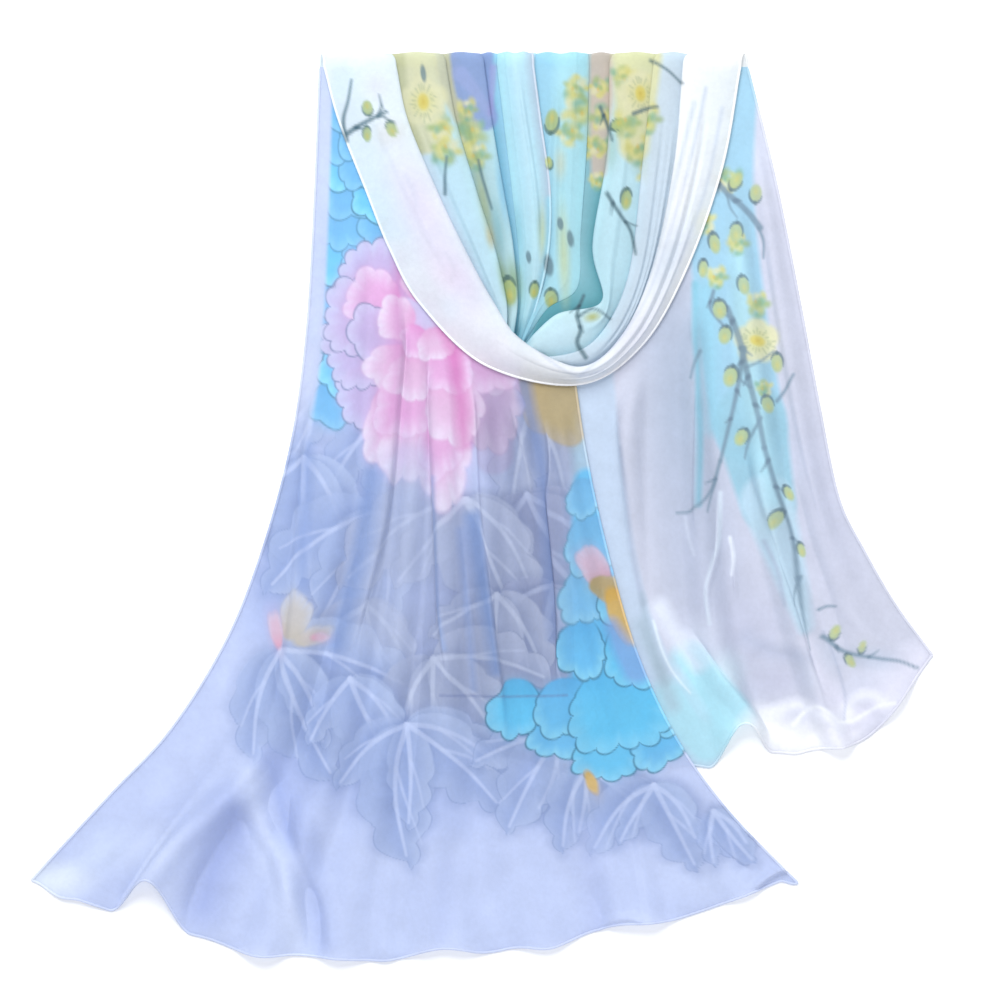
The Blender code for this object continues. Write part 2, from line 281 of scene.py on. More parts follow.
SWAG_PLEATS = table(
    SwagPleat,
    ("band", 0, 2, 4.5, 7.5, 5.0, 1),
    ("first pleat", 2, 4, 3.6, 4.5, 3.8, 1),
    ("second pleat", 4, 6, 3.2, 6.0, 3.6, 1),
    ("low pleat", 6, 8, 0.6, 0.4, 0.6, 0),
    ("inner pleat", 8, 12, 3.4, 2.0, 3.2, -1),
)
SWAG_RIDGES = table(
    SwagRidge,
    ("band lip", 1.50, 1.34, 4.4, 9.7, 1.0, 0.20),
    ("band run right", 1.04, 1.10, 6.3, 9.9, -1.0, 0.20),
    ("band run low", 0.62, 0.76, 5.5, 8.8, 0.8, 0.18),
    ("band run left", 1.10, 1.42, 0.2, 3.9, 0.9, 0.26),
    ("first pleat, left", 2.80, 3.10, 0.4, 4.2, 0.8, 0.28),
    ("first pleat, right", 2.90, 3.20, 6.4, 9.7, -1.0, 0.26),
    ("first pleat, outer", 2.45, 2.55, 7.0, 9.5, 0.7, 0.18),
    ("second pleat, left", 4.90, 5.10, 0.2, 2.6, 0.9, 0.34),
    ("second pleat, right", 5.00, 5.25, 6.2, 9.5, 0.9, 0.30),
    ("inner pleat, left", 10.20, 10.50, 0.1, 3.2, 0.9, 0.40),
    ("inner hollow, right", 9.50, 9.70, 7.0, 9.9, -1.0, 0.40),
    ("inner pleat, right", 10.70, 10.40, 6.9, 9.9, 0.9, 0.40),
)
RIDGE_FADE = 0.25  # a ridge dies away over this share of its run at each end


def ease(share):
    """0 to 1, with a level start and end."""
    share = np.clip(share, 0.0, 1.0)
    return share * share * (3.0 - 2.0 * share)


def swell(distance, half_width):
    """1 on a ridge's line, falling softly to 0 at half_width."""
    return 0.5 + 0.5 * np.cos(np.pi * np.minimum(np.abs(distance) / half_width, 1.0))


def blend(start, end, share):
    return start + (end - start) * share


def running_total(steps):
    """0, and then the sum of the steps up to each of them."""
    return np.concatenate(([0.0], np.cumsum(steps)))


def read_between(at, knots, rows):
    """Rows of numbers read at places between the knots, straight from each to the next."""
    return np.stack([np.interp(at, knots, column) for column in rows.T], axis=1)


def spline(knots, values, at):
    """Places on a smooth curve through (knot, value) pairs, knots ascending, level past its ends.

    values may have more axes than the first; the result then has at's axes followed by those.
    """
    knots = np.asarray(knots, float)
    values = np.asarray(values, float)
    last = len(knots) - 1
    at = np.clip(np.asarray(at, float), knots[0], knots[-1])
    i = np.clip(np.searchsorted(knots, at, side="left") - 1, 0, last - 1)
    more = (1,) * (values.ndim - 1)
    before = np.maximum(np.arange(last + 1) - 1, 0)
    after = np.minimum(np.arange(last + 1) + 1, last)
    slopes = (values[after] - values[before]) / (knots[after] - knots[before]).reshape(-1, *more)
    step = (knots[i + 1] - knots[i]).reshape(*at.shape, *more)
    t = (at - knots[i]).reshape(*at.shape, *more) / step
    return (
        values[i] * (1.0 + 2.0 * t) * (1.0 - t) ** 2
        + slopes[i] * step * t * (1.0 - t) ** 2
        + values[i + 1] * t * t * (3.0 - 2.0 * t)
        - slopes[i + 1] * step * t * t * (1.0 - t)
    )


def edge_x(sections, y, side):
    """X of a tail's left or right edge at a height y in plan."""
    rows = sections[::-1]
    xs = [getattr(s, side + "_x") for s in rows]
    ys = [getattr(s, side + "_y") for s in rows]
    return spline(ys, xs, y)


def sag_share(across, power):
    return 1.0 - np.abs(2.0 * across - 1.0) ** power


def tail_plan(sections, sag_power, hem, across, down):
    """Plan points of a tail, one row for each place down it, and its width there."""
    knots = [s.down for s in sections]
    columns = spline(knots, np.array(sections), down)[:, 1:].T[:, :, None]
    left_x, left_y, right_x, right_y, sag = columns
    x = blend(left_x, right_x, across)
    y = blend(left_y, right_y, across) - sag * sag_share(across, sag_power)
    width = right_x - left_x
    near_hem = ease((down - HEM_START) / (1.0 - HEM_START))[:, None]
    for wave in hem:
        y = y + wave.pull * near_hem * swell((across - wave.at) * width, wave.half_width)
    return x, y, width


def fold_height(folds, across, down, width):
    """How far the folds lift a tail, before anything presses on it."""
    stations = (0.0, 0.5, 1.0)
    height = 0.0
    for fold in folds:
        at = spline(stations, (fold.at_top, fold.at_middle, fold.at_hem), down)[:, None]
        rise = spline(stations, (fold.rise_top, fold.rise_middle, fold.rise_hem), down)[:, None]
        half = spline(stations, (fold.width_top, fold.width_middle, fold.width_hem), down)[:, None]
        height = height + rise * swell((across - at) * width, half)
    return height


def outside_swag(x, y):
    """0 under the swag, rising to 1 where a tail's folds are free of it."""
    across = x - POLE_X
    below = TOP_LINE - y
    bearing = np.degrees(np.arctan2(across, np.maximum(below, 0.0)))
    past = np.hypot(across, below) - np.exp(spline(BEARINGS, np.log(SELVEDGE_REACH), bearing))
    return ease((past - PRESS_MARGIN) / PRESS_WIDTH)


def over_short_tail(x, y):
    """1 where a layer lies on the short tail's hidden part, falling to 0 clear of it."""
    from_side = x - edge_x(SHORT_SECTIONS, y, "left") + COVER_MARGIN + COVER_RISE
    hem = SHORT_SECTIONS[-1]
    across = np.clip((x - hem.left_x) / (hem.right_x - hem.left_x), 0.0, 1.0)
    hem_y = blend(hem.left_y, hem.right_y, across)
    hem_y = hem_y - hem.sag * sag_share(across, SHORT_SAG_POWER) - COVER_MARGIN
    from_hem = y - hem_y + COVER_RISE
    return ease(from_side / COVER_RISE) * ease(from_hem / COVER_RISE)


def over_long_tail_edge(x, y):
    """1 inside the long tail's right edge, falling to 0 past it."""
    past = x - edge_x(LONG_SECTIONS, y, "right") - COVER_MARGIN
    return 1.0 - ease(past / COVER_RISE)


# ---- Smaller creases, which the sheets have over and above the solids' folds ----


class Crease(NamedTuple):
    """One soft ridge (or trough, where rise is negative) along a path in the laid plan.

    lap is how far its crest leans over to the right of its path, seen from its first point, so
    that the cloth doubles there; left where negative.
    """

    name: str
    rise: float
    lap: float
    half_width: float
    path: tuple


LONG_CREASES = table(
    Crease,
    (
        "down the rosette", 2.6, -3.2, 9,
        ((-48, 166), (-52, 105), (-56, 63), (-63, -7), (-78, -67), (-88, -118)),
    ),
    (
        "left of the rosette", 1.6, 1.6, 8,
        ((-97, 84), (-104, 40), (-109, -20), (-114, -80), (-131, -146)),
    ),
    ("rosette edge", 2.2, 3.0, 7, ((-29, 110), (-27, 36), (-24, -22), (-22, -68), (-16, -126))),
    ("centre", 2.4, -3.0, 8, ((-14, 112), (-11, 60), (-8, -3), (-2, -48), (4, -94), (14, -160))),
    ("short line", 0.9, 1.0, 3.5, ((13, 74), (21, 46), (33, 12))),
    ("dark band left", 2.0, -2.2, 6, ((30, 66), (34, 38), (37, -22), (40, -60), (43, -106))),
    ("dark band right", 2.4, 3.2, 7, ((36, 30), (43, -16), (47, -58), (49, -118))),
    ("slant", 1.6, 0.0, 8, ((-126, -140), (-140, -160), (-172, -184))),
    ("hollow", -5.0, 0.0, 14, ((-136, -172), (-149, -192), (-158, -208), (-167, -232), (-170, -262))),
    (
        "bright ridge", 4.0, 0.0, 12,
        ((-143, -160), (-137, -186), (-121, -211), (-114, -237), (-110, -276)),
    ),
    ("valley", -3.0, 0.0, 10, ((-126, -158), (-118, -205), (-108, -231), (-102, -245), (-97, -282))),
    ("valley side", 2.2, 0.0, 10, ((-112, -166), (-106, -205), (-96, -236), (-88, -282))),
    ("notch ridge", 2.6, 0.0, 11, ((-204, -236), (-185, -206), (-161, -184), (-138, -166))),
    ("corner ridge", 1.2, 0.0, 10, ((-262, -236), (-224, -206), (-190, -170))),
    ("hem trough left", -2.2, 0.0, 12, ((-18, -190), (-22, -230), (-26, -290))),
    ("hem ridge left", 1.6, 0.0, 10, ((-52, -196), (-58, -236), (-60, -290))),
    ("hem trough right", -2.6, 0.0, 12, ((60, -168), (65, -208), (69, -270))),
    ("hem ridge right", 2.0, 0.8, 10, ((88, -176), (96, -214), (104, -270))),
    ("tip line", 1.2, 0.8, 3.5, ((134, -192), (146, -206), (163, -219))),
    ("tip fold", 3.4, 0.6, 4.5, ((160, -232), (169, -224), (178, -219), (190, -214))),
    ("hem turn", 1.6, 0.6, 5, ((62, -262), (74, -250), (88, -247), (102, -252))),
    ("left edge pull", 1.2, 0.0, 6, ((-101, 170), (-104, 100), (-110, 50))),
    ("leaf hollow", -1.8, 0.0, 12, ((-92, -60), (-100, -110), (-112, -160))),
    ("middle hollow", -1.6, 0.0, 12, ((-40, -60), (-44, -120), (-48, -180))),
    ("right hollow", -1.6, 0.0, 11, ((66, -40), (76, -90), (92, -150))),
)
SHORT_CREASES = table(
    Crease,
    (
        "pale boundary", 2.4, 3.0, 8,
        ((82, 82), (86, 33), (90, -21), (94, -67), (101, -94), (115, -118), (134, -142)),
    ),
    ("cyan line", 1.2, 1.2, 3.5, ((129, 78), (128, 33), (127, -20))),
    ("raised pleat", 2.6, 3.2, 8, ((158, 46), (175, -9), (192, -57), (205, -99), (214, -131))),
    ("beside the pleat", -2.0, 0.0, 9, ((180, 20), (192, -20), (205, -60), (216, -104))),
    ("hem curl", 1.7, 0.0, 7, ((196, -138), (205, -128), (217, -131), (229, -126))),
    ("hem curl right", 1.5, 0.0, 7, ((218, -120), (226, -115), (233, -118), (241, -129))),
    ("hem curl left", 1.3, 0.0, 7, ((189, -140), (196, -128), (204, -117))),
    ("turned side", 2.8, -2.4, 7, ((118, -72), (138, -103), (158, -126), (174, -148))),
    ("fine one", 1.0, 0.6, 2.6, ((141, 6), (140, -30), (134, -52), (135, -76))),
    ("fine two", 0.8, 0.5, 2.4, ((148, -14), (152, -58))),
    ("soft shelf", 1.1, 0.0, 8, ((154, -94), (166, -82), (178, -83), (195, -88))),
    ("upper run", 1.6, 1.4, 6, ((118, 190), (124, 130), (128, 84))),
    ("border run", 1.4, 0.8, 6, ((168, 180), (182, 90), (196, 20), (214, -40))),
    ("corner pull", 1.0, 0.0, 6, ((214, -62), (236, -80), (262, -92))),
)
PATH_STEPS = 36
FADE_SHARE = 0.22  # a crease dies away over this share of its length at each end
LEE_SHARE = 0.60  # the side that a crest leans to is this much narrower
LAP_CENTRE = 0.12
LAP_REACH = 0.95


def smooth_path(points, steps=PATH_STEPS):
    """Evenly read places on a smooth curve through the points."""
    points = np.array(points, float)
    knots = running_total(np.hypot(*np.diff(points, axis=0).T))
    return spline(knots, points, np.linspace(0.0, knots[-1], steps + 1))


def beside_path(path, x, y):
    """Distance to the right of a path (negative to its left), share along it, and the way right."""
    best = np.full(x.shape, np.inf)
    aside = np.zeros(x.shape)
    along = np.zeros(x.shape)
    right_x = np.zeros(x.shape)
    right_y = np.zeros(x.shape)
    steps = len(path) - 1
    for i in range(steps):
        run = path[i + 1] - path[i]
        length = max(np.hypot(*run), 1e-9)
        unit = run / length
        share = np.clip(((x - path[i, 0]) * unit[0] + (y - path[i, 1]) * unit[1]) / length, 0.0, 1.0)
        off_x = x - path[i, 0] - run[0] * share
        off_y = y - path[i, 1] - run[1] * share
        distance = np.hypot(off_x, off_y)
        nearer = distance < best
        side = np.sign(off_x * -unit[1] + off_y * unit[0])
        best = np.where(nearer, distance, best)
        aside = np.where(nearer, -side * distance, aside)
        along = np.where(nearer, (i + share) / steps, along)
        right_x = np.where(nearer, unit[1], right_x)
        right_y = np.where(nearer, -unit[0], right_y)
    return aside, along, right_x, right_y


def crease_shift(creases, x, y):
    """How the creases move each laid point: sideways in x and y, and up."""
    shift_x = np.zeros(x.shape)
    shift_y = np.zeros(x.shape)
    lift = np.zeros(x.shape)
    for crease in creases:
        path = smooth_path(crease.path)
        reach = crease.half_width + abs(crease.lap)
        low = path.min(axis=0) - reach
        high = path.max(axis=0) + reach
        near = (x > low[0]) & (x < high[0]) & (y > low[1]) & (y < high[1])
        aside, along, right_x, right_y = beside_path(path, x[near], y[near])
        fade = ease(along / FADE_SHARE) * ease((1.0 - along) / FADE_SHARE)
        lean = np.sign(crease.lap)
        lee = aside * lean > 0.0
        half = np.where(lee, crease.half_width * LEE_SHARE, crease.half_width)
        lift[near] += crease.rise * fade * swell(aside, half)
        if crease.lap:
            centre = lean * LAP_CENTRE * crease.half_width
            push = crease.lap * fade * swell(aside - centre, LAP_REACH * crease.half_width)
            shift_x[near] += push * right_x
            shift_y[near] += push * right_y
    return shift_x, shift_y, lift


# ---- Printing: dyes, and painted shade and highlights, laid on the points of a sheet, as a painter would lay washes and strokes ----


class Print:
    """The colour of one stretch of cloth, point by point, and where each point lies when laid."""

    def __init__(self, x, y, ground):
        self.x = x.ravel()
        self.y = y.ravel()
        self.colour = np.tile(np.array(ground), (self.x.size, 1))
        self.free = np.ones(self.x.size, bool)  # points that take the dye now

    def keep_to(self, mask=None):
        """Only points of the mask take dye from here on; all of them with no mask."""
        self.free = np.ones(self.x.size, bool) if mask is None else mask

    def near(self, line, reach):
        """Places of the points that take dye and lie within reach of the box round a line."""
        line = np.atleast_2d(line)
        low = line.min(axis=0) - reach
        high = line.max(axis=0) + reach
        boxed = (self.x > low[0]) & (self.x < high[0]) & (self.y > low[1]) & (self.y < high[1])
        return np.flatnonzero(boxed & self.free)

    def dye(self, at, colour, cover):
        """Lays a colour, or one for each point, over the points at these places."""
        cover = np.broadcast_to(cover, at.shape)[:, None]
        self.colour[at] += (colour - self.colour[at]) * cover


def inside(gap, soft):
    """1 inside a shape, 0 outside it, over a soft edge; gap is the distance past the edge."""
    return np.clip(0.5 - gap / (2.0 * soft), 0.0, 1.0)


def turned(cloth, points, at, heading):
    """Distances of points along a heading, in degrees from +X, and to its left."""
    c = math.cos(math.radians(heading))
    s = math.sin(math.radians(heading))
    dx = cloth.x[points] - at[0]
    dy = cloth.y[points] - at[1]
    return dx * c + dy * s, dy * c - dx * s


def placed(at, heading, along, left):
    """The laid point at distances along a heading and to its left."""
    c = math.cos(math.radians(heading))
    s = math.sin(math.radians(heading))
    return at[0] + along * c - left * s, at[1] + along * s + left * c


PATCH_REACH = 1.05  # how far round a patch its points are looked for, in its half sizes


def wash(cloth, at, size, colour, cover, turn=0.0, edge=1.0):
    """A soft round patch of colour; edge under 1 gives it a firmer rim."""
    points = cloth.near(at, PATCH_REACH * max(size))
    along, left = turned(cloth, points, at, turn)
    far = np.hypot(along / size[0], left / size[1])
    cloth.dye(points, pigment(colour), cover * ease((1.0 - far) / edge))


def stroke(cloth, path, start, end, colour, cover, soft, steps):
    """A brush line along a smooth path; start and end are its widths."""
    line = smooth_path(path, steps)
    points = cloth.near(line, max(start, end) / 2.0 + 2.0 * soft)
    if not points.size:
        return
    aside, along, _, _ = beside_path(line, cloth.x[points], cloth.y[points])
    gap = np.abs(aside) - blend(start, end, along) / 2.0
    cloth.dye(points, pigment(colour), cover * inside(gap, soft))


class LeafDye(NamedTuple):
    """Colours of one kind of leaf."""

    deep: str
    light: str
    vein: str
    outline: str


BLUE_LEAF = LeafDye("#97ABD6", "#B4C4E4", "#C8D5F2", "#7C90BE")
GREY_LEAF = LeafDye("#9DA9C8", "#B5BFD8", "#C8D2E8", "#7F8CB0")
DUSK_LEAF = LeafDye("#8F9ABC", "#A9B2D0", "#BAC5E2", "#7582A8")
TEETH = 3.6  # waves of the margin along a blade
TOOTH_DEPTH = 0.30
TOOTH_LEVEL = 0.75  # of a wave, which lies on the even margin
TEETH_APART = 1.9  # radians by which the teeth of one side are out of step with the other's
TEETH_FROM = 0.30  # share of a blade's length where its teeth begin
RIB_KNOTS = (0.0, 0.35, 0.7, 1.0)  # shares of a blade's length that its rib goes through
RIB_STEPS = 9
BLADE_REACH = 5.0  # millimetres past a blade that its dye runs
BLADE_COVER = 0.82
HALO_COVER = 0.24  # of the outline's dye that runs out round a blade
HALO_REACH = 8.0
OUTLINE_COVER = 0.62


class Blade(NamedTuple):
    """One lobe of a leaf: its root, the way it points, its length, width, bend and teeth's phase."""

    at: tuple
    way: float
    length: float
    width: float
    bend: float
    phase: float

    def point(self, share, aside=0.0):
        """The laid point at a share of its length along its bent rib, and to its left."""
        left = self.bend * self.length * share**2 + aside
        return placed(self.at, self.way, self.length * share, left)


def lay_blade(cloth, blade, dye):
    """Paints a lobe along its rib, cut into a few round teeth towards its tip."""
    line = smooth_path([blade.point(share) for share in RIB_KNOTS], RIB_STEPS)
    points = cloth.near(line, 0.7 * blade.width + BLADE_REACH)
    if not points.size:
        return
    aside, share, _, _ = beside_path(line, cloth.x[points], cloth.y[points])
    step = np.where(aside < 0.0, blade.phase, blade.phase + TEETH_APART)
    wave = np.abs(np.sin(TEETH * math.pi * share + step))
    teeth = TOOTH_DEPTH * (wave - TOOTH_LEVEL) * ease((share - TEETH_FROM) / 0.25)
    half = 0.5 * blade.width * (np.sin(math.pi * share**0.8) ** 0.6 + teeth)
    gap = np.abs(aside) - np.maximum(half, 0.0)
    outline = pigment(dye.outline)
    towards_tip = ease((share - 0.25) / 0.4)
    cloth.dye(points, outline, HALO_COVER * ease(1.0 - gap / HALO_REACH) * (gap > 0.0))
    to_margin = ease(np.abs(aside) / np.maximum(half, 1.0))
    on_left = ease(0.5 - aside / 6.0)
    pale = 0.55 * to_margin + 0.45 * on_left
    body = blend(pigment(dye.deep), pigment(dye.light), pale[:, None])
    cloth.dye(points, body, BLADE_COVER * inside(gap, 0.8))
    cloth.dye(points, outline, OUTLINE_COVER * inside(np.abs(gap) - 0.3, 0.5) * towards_tip)


LOBE_SHORTER = 0.10  # how much shorter a leaf's lobes get, each way from its middle one
LOBE_UNEVEN = 0.16  # and how unlike they are in length
LOBE_SWAY = 6.0  # degrees by which their ways vary
LOBE_DROOP = 0.30  # how far the outer ones bend back, as a share of their length
LOBE_WIDTH = 0.52  # of its length
MIDRIB_KNOTS = (0.0, 0.3, 0.6, 0.93)
MIDRIB_WIDTHS = (3.1, 1.7)
FORK_WIDTHS = (2.0, 1.1)
VEIN_SOFT = 0.6


def leaf(cloth, spot):
    """A leaf of a few drooping blades from one stalk, each with a long curved vein that forks."""
    middle = (spot.lobes - 1) / 2.0
    blades = []
    for n in sorted(range(spot.lobes), key=lambda n: -abs(n - middle)):
        off = n - middle
        vary = math.sin(2.6 * n + 0.37 * spot.x + 0.21 * spot.y)
        length = spot.length * (1.0 - LOBE_SHORTER * abs(off) + LOBE_UNEVEN * vary)
        way = spot.heading + spot.spread * off + LOBE_SWAY * vary
        width = length * (LOBE_WIDTH + 0.07 * vary)
        bend = -LOBE_DROOP * off + 0.14 * vary
        blades.append(Blade((spot.x, spot.y), way, length, width, bend, 2.0 * vary + n))
    for blade in blades:
        lay_blade(cloth, blade, spot.dye)
    for blade in blades:
        midrib = [blade.point(share) for share in MIDRIB_KNOTS]
        stroke(cloth, midrib, *MIDRIB_WIDTHS, spot.dye.vein, cover=0.74, soft=VEIN_SOFT, steps=12)
        side = 1.0 if math.sin(5.0 * blade.phase) > 0.0 else -1.0
        fork = (
            blade.point(0.34),
            blade.point(0.52, 0.13 * side * blade.width),
            blade.point(0.80, 0.30 * side * blade.width),
        )
        stroke(cloth, fork, *FORK_WIDTHS, spot.dye.vein, cover=0.55, soft=VEIN_SOFT, steps=8)


class PetalDye(NamedTuple):
    """Colours of one kind of petal, where its pale rim begins and how its edge is drawn."""

    base: str
    body: str
    rim: str
    rim_from: float
    outline: str
    line: float
    line_cover: float


BLUE_PETAL = PetalDye("#5FC1EE", "#6ED2F8", "#8FDFFB", 0.55, "#2F6682", 0.9, 0.80)
AQUA_PETAL = PetalDye("#62BAEC", "#74CAF5", "#98E2FA", 0.55, "#336A85", 0.9, 0.80)
SKY_PETAL = PetalDye("#79BDE7", "#86C8EE", "#9CD8F3", 0.55, "#4C84A0", 0.8, 0.60)
DEEP_SKY_PETAL = PetalDye("#6CB2E2", "#7ABEE9", "#90CFF1", 0.55, "#3F7894", 0.8, 0.70)
PINK_PETAL = PetalDye("#DBA4CF", "#E0C0DD", "#E8E0F0", 0.40, "#CF95C6", 0.9, 0.12)
ROSE_PETAL = PetalDye("#D890C8", "#E0AFDA", "#E8D5ED", 0.42, "#C57BB6", 0.9, 0.15)
LILAC_PETAL = PetalDye("#C9A8D4", "#C6B7DE", "#CFCFEC", 0.52, "#6F7FA4", 1.0, 0.75)
DUSKY_PETAL = PetalDye("#AF95BA", "#B5A4C4", "#CBC2D9", 0.42, "#9F8FB0", 0.9, 0.30)
OCHRE_PETAL = PetalDye("#B9A468", "#C2B080", "#C6BBA4", 0.60, "#A38C58", 0.9, 0.12)
GOLD_PETAL = PetalDye("#DDB050", "#E3BC62", "#E6C985", 0.60, "#B49253", 0.9, 0.30)
CREAM_PETAL = PetalDye("#C6BEAC", "#CCC8C2", "#C9CFDD", 0.40, "#B0ACAA", 0.9, 0.20)
BLUSH_PETAL = PetalDye("#E3A4B8", "#DEBFD0", "#D8CCE0", 0.45, "#C79AAC", 0.9, 0.15)
SQUARENESS = 2.4  # 2 for an ellipse; over it, a petal's shoulders are fuller
PETAL_COVER = 0.95
RUFFLE_DEPTH = 0.15
RUFFLE_LEVEL = 0.72  # of a ruffle's wave, which lies on the even rim
ROOT_TAPER = 0.30  # how much closer a petal's edge comes to its middle at the root
STREAKS = 19.0  # across a petal's rim, for a full turn


def petal(cloth, spot, phase):
    """A broad ruffled petal: deep at its root, pale at its rim, with a drawn edge."""
    at = (spot.x, spot.y)
    centre = placed(at, spot.heading, 0.5 * spot.length, 0.0)
    reach = 0.62 * (spot.length + spot.width) / 2.0 + 0.3 * max(spot.length, spot.width) + 5.0
    points = cloth.near(centre, reach)
    if not points.size:
        return
    along, left = turned(cloth, points, at, spot.heading)
    forward = 2.0 * along / spot.length - 1.0
    side = 2.0 * left / spot.width
    angle = np.arctan2(side, forward)
    outer = ease(0.55 + 0.75 * np.cos(angle))
    far = (np.abs(forward) ** SQUARENESS + np.abs(side) ** SQUARENESS) ** (1.0 / SQUARENESS)
    scallop = np.abs(np.cos(0.9 * spot.ruffles * angle + phase)) ** 0.6 - RUFFLE_LEVEL
    uneven = 0.07 * np.sin(2.0 * angle + 5.0 * phase) + 0.05 * np.sin(5.0 * angle + 3.0 * phase)
    edge = 1.0 - ROOT_TAPER * (1.0 - outer) + (RUFFLE_DEPTH * scallop + uneven) * outer
    gap = (far - edge) * 0.5 * min(spot.length, spot.width)
    base = pigment(spot.dye.base)
    cloth.dye(points, base, 0.10 * PETAL_COVER * ease(1.0 - gap / 4.0) * (gap > 0.0))
    rooted = np.clip(along / spot.length, 0.0, 1.0)
    fill = blend(base, pigment(spot.dye.body), ease(1.7 * rooted - 0.1)[:, None])
    streaks = 0.86 + 0.14 * np.sin(angle * STREAKS + 4.0 * phase)
    rimmed = ease((far / np.maximum(edge, 0.1) - spot.dye.rim_from) / (1.0 - spot.dye.rim_from))
    fill = blend(fill, pigment(spot.dye.rim), (rimmed * outer * streaks)[:, None])
    cloth.dye(points, fill, PETAL_COVER * inside(gap, 0.7) * ease(8.0 * rooted))
    drawn = inside(np.abs(gap) - 0.5 * spot.dye.line, 0.45) * ease(rooted * 3.0 - 0.3)
    cloth.dye(points, pigment(spot.dye.outline), spot.dye.line_cover * drawn)


BLOSSOM_MIDDLE = "#DFDC94"
BLOSSOM_RIM = "#E6E5BC"
STAMENS = 19
STAMEN_DYE = "#8DA483"
STAMEN_RING = (0.46, 0.30)  # half sizes of the oval round which they stand, in radii
EYE_DYE = "#E2D05C"
EYE_MIDDLE_DYE = "#D5B84A"


def blossom(cloth, at, radius, turn, cover):
    """A soft open blossom, cream yellow, with short grey-green stamens round an oval warm eye."""
    points = cloth.near(at, 1.3 * radius)
    along, left = turned(cloth, points, at, turn)
    far = np.hypot(along, left) / radius
    edge = 0.84 + 0.16 * np.abs(np.cos(2.5 * np.arctan2(left, along)))
    colour = blend(pigment(BLOSSOM_MIDDLE), pigment(BLOSSOM_RIM), ease(far * 1.3)[:, None])
    cloth.dye(points, colour, cover * inside((far - edge) * radius, 1.6))
    for n in range(STAMENS):
        way = math.radians(360.0 / STAMENS * n + 6.0 * math.sin(5.0 * n))
        root, tip = (
            placed(
                at,
                turn,
                STAMEN_RING[0] * reach * radius * math.cos(way),
                STAMEN_RING[1] * reach * radius * math.sin(way),
            )
            for reach in (1.05, 1.55 + 0.25 * math.sin(3.0 * n))
        )
        stroke(cloth, (root, tip), 0.5, 0.9, STAMEN_DYE, cover=0.55 * cover, soft=0.6, steps=2)
    wash(cloth, at, (0.44 * radius, 0.28 * radius), EYE_DYE, 0.90 * cover, turn=turn, edge=0.5)
    wash(cloth, at, (0.22 * radius, 0.14 * radius), EYE_MIDDLE_DYE, 0.6 * cover, turn=turn)


GOLDEN_ANGLE = 137.5
POSY_DABS = 11
POSY_DYES = ("#A6BE80", "#E1DD90", "#8DBB9C", "#D9D47C", "#C5CE8C", "#E7E4B6", "#B3C68A")
POSY_HEART = "#DDBA50"
POSY_COVER = 0.85
DAB_SIZE = 0.74  # of its posy's
DAB_UNEVEN = 0.16
DAB_OVAL = 0.68  # a dab's width, as a share of its length


def posy(cloth, at, size):
    """A cluster of half-open blossoms, dabbed on wet in yellow, olive, cream and sea green."""
    for n in reversed(range(POSY_DABS)):
        way = GOLDEN_ANGLE * n + 60.0 * at[0]
        spot = placed(at, way, size * math.sqrt(n / POSY_DABS), 0.0)
        half = size * (DAB_SIZE + DAB_UNEVEN * math.sin(3.0 * n + at[1]))
        dye = POSY_DYES[n % len(POSY_DYES)]
        wash(cloth, spot, (half, DAB_OVAL * half), dye, POSY_COVER, turn=2.0 * way, edge=0.9)
    heart = placed(at, 70.0 * at[1], 0.3 * size, 0.0)
    wash(cloth, heart, (0.24 * size, 0.32 * size), POSY_HEART, 0.7 * POSY_COVER)


class BudDye(NamedTuple):
    """Colours of one kind of bud and of the calyx that holds it."""

    fill: str
    heart: str
    calyx: str


class TwigDye(NamedTuple):
    """Colours of one kind of twig."""

    bark: str
    knot: str


PALE_BUD = BudDye("#BCCB96", "#D2CF86", "#5F7A88")
GREEN_BUD = BudDye("#B3C47C", "#D6CB68", "#55766F")
SLATE_TWIG = TwigDye("#7E98AA", "#5C7488")
TEAL_TWIG = TwigDye("#56767F", "#334F5B")
BUD_WIDTH = 0.62  # of its length
BUD_UNEVEN = 0.10
CALYX_TURNS = (110.0, 70.0)  # degrees that its two arms reach round the bud
CALYX_WIDTHS = (0.17, 0.05)  # shares of the bud's length
CALYX_COVER = 0.75
CALYX_KNOTS = 5
BARK_COVER = 0.85
BARK_SOFT = 0.8
SPUR_ANGLE = 42.0
SPUR_LENGTH = 5.5
SPUR_UNEVEN = 2.0


def bud(cloth, spot, dye):
    """A slim yellow-green bud in a dark calyx, which caps its stalk's end and hugs one side."""
    nudge = math.sin(3.1 * spot.x + spot.y)
    centre = placed((spot.x, spot.y), spot.heading, 0.5 * spot.length, 0.0)
    slim = BUD_WIDTH + BUD_UNEVEN * nudge
    for size, colour, cover, edge in ((0.50, dye.fill, 0.88, 0.35), (0.30, dye.heart, 0.70, 1.0)):
        middle = placed(centre, spot.heading, (0.50 - size) * 0.5 * spot.length, 0.0)
        half = size * spot.length
        wash(cloth, middle, (half, slim * half), colour, cover, turn=spot.heading, edge=edge)
    longer = 1.0 if nudge > 0.0 else -1.0
    for side, last in zip((longer, -longer), CALYX_TURNS):
        arc = [
            placed(
                centre,
                spot.heading,
                -0.43 * spot.length * math.cos(math.radians(turn)),
                side * 0.45 * slim * spot.length * math.sin(math.radians(turn)),
            )
            for turn in np.linspace(0.0, last, CALYX_KNOTS)
        ]
        start, end = (share * spot.length for share in CALYX_WIDTHS)
        stroke(cloth, arc, start, end, dye.calyx, cover=CALYX_COVER, soft=0.4, steps=8)


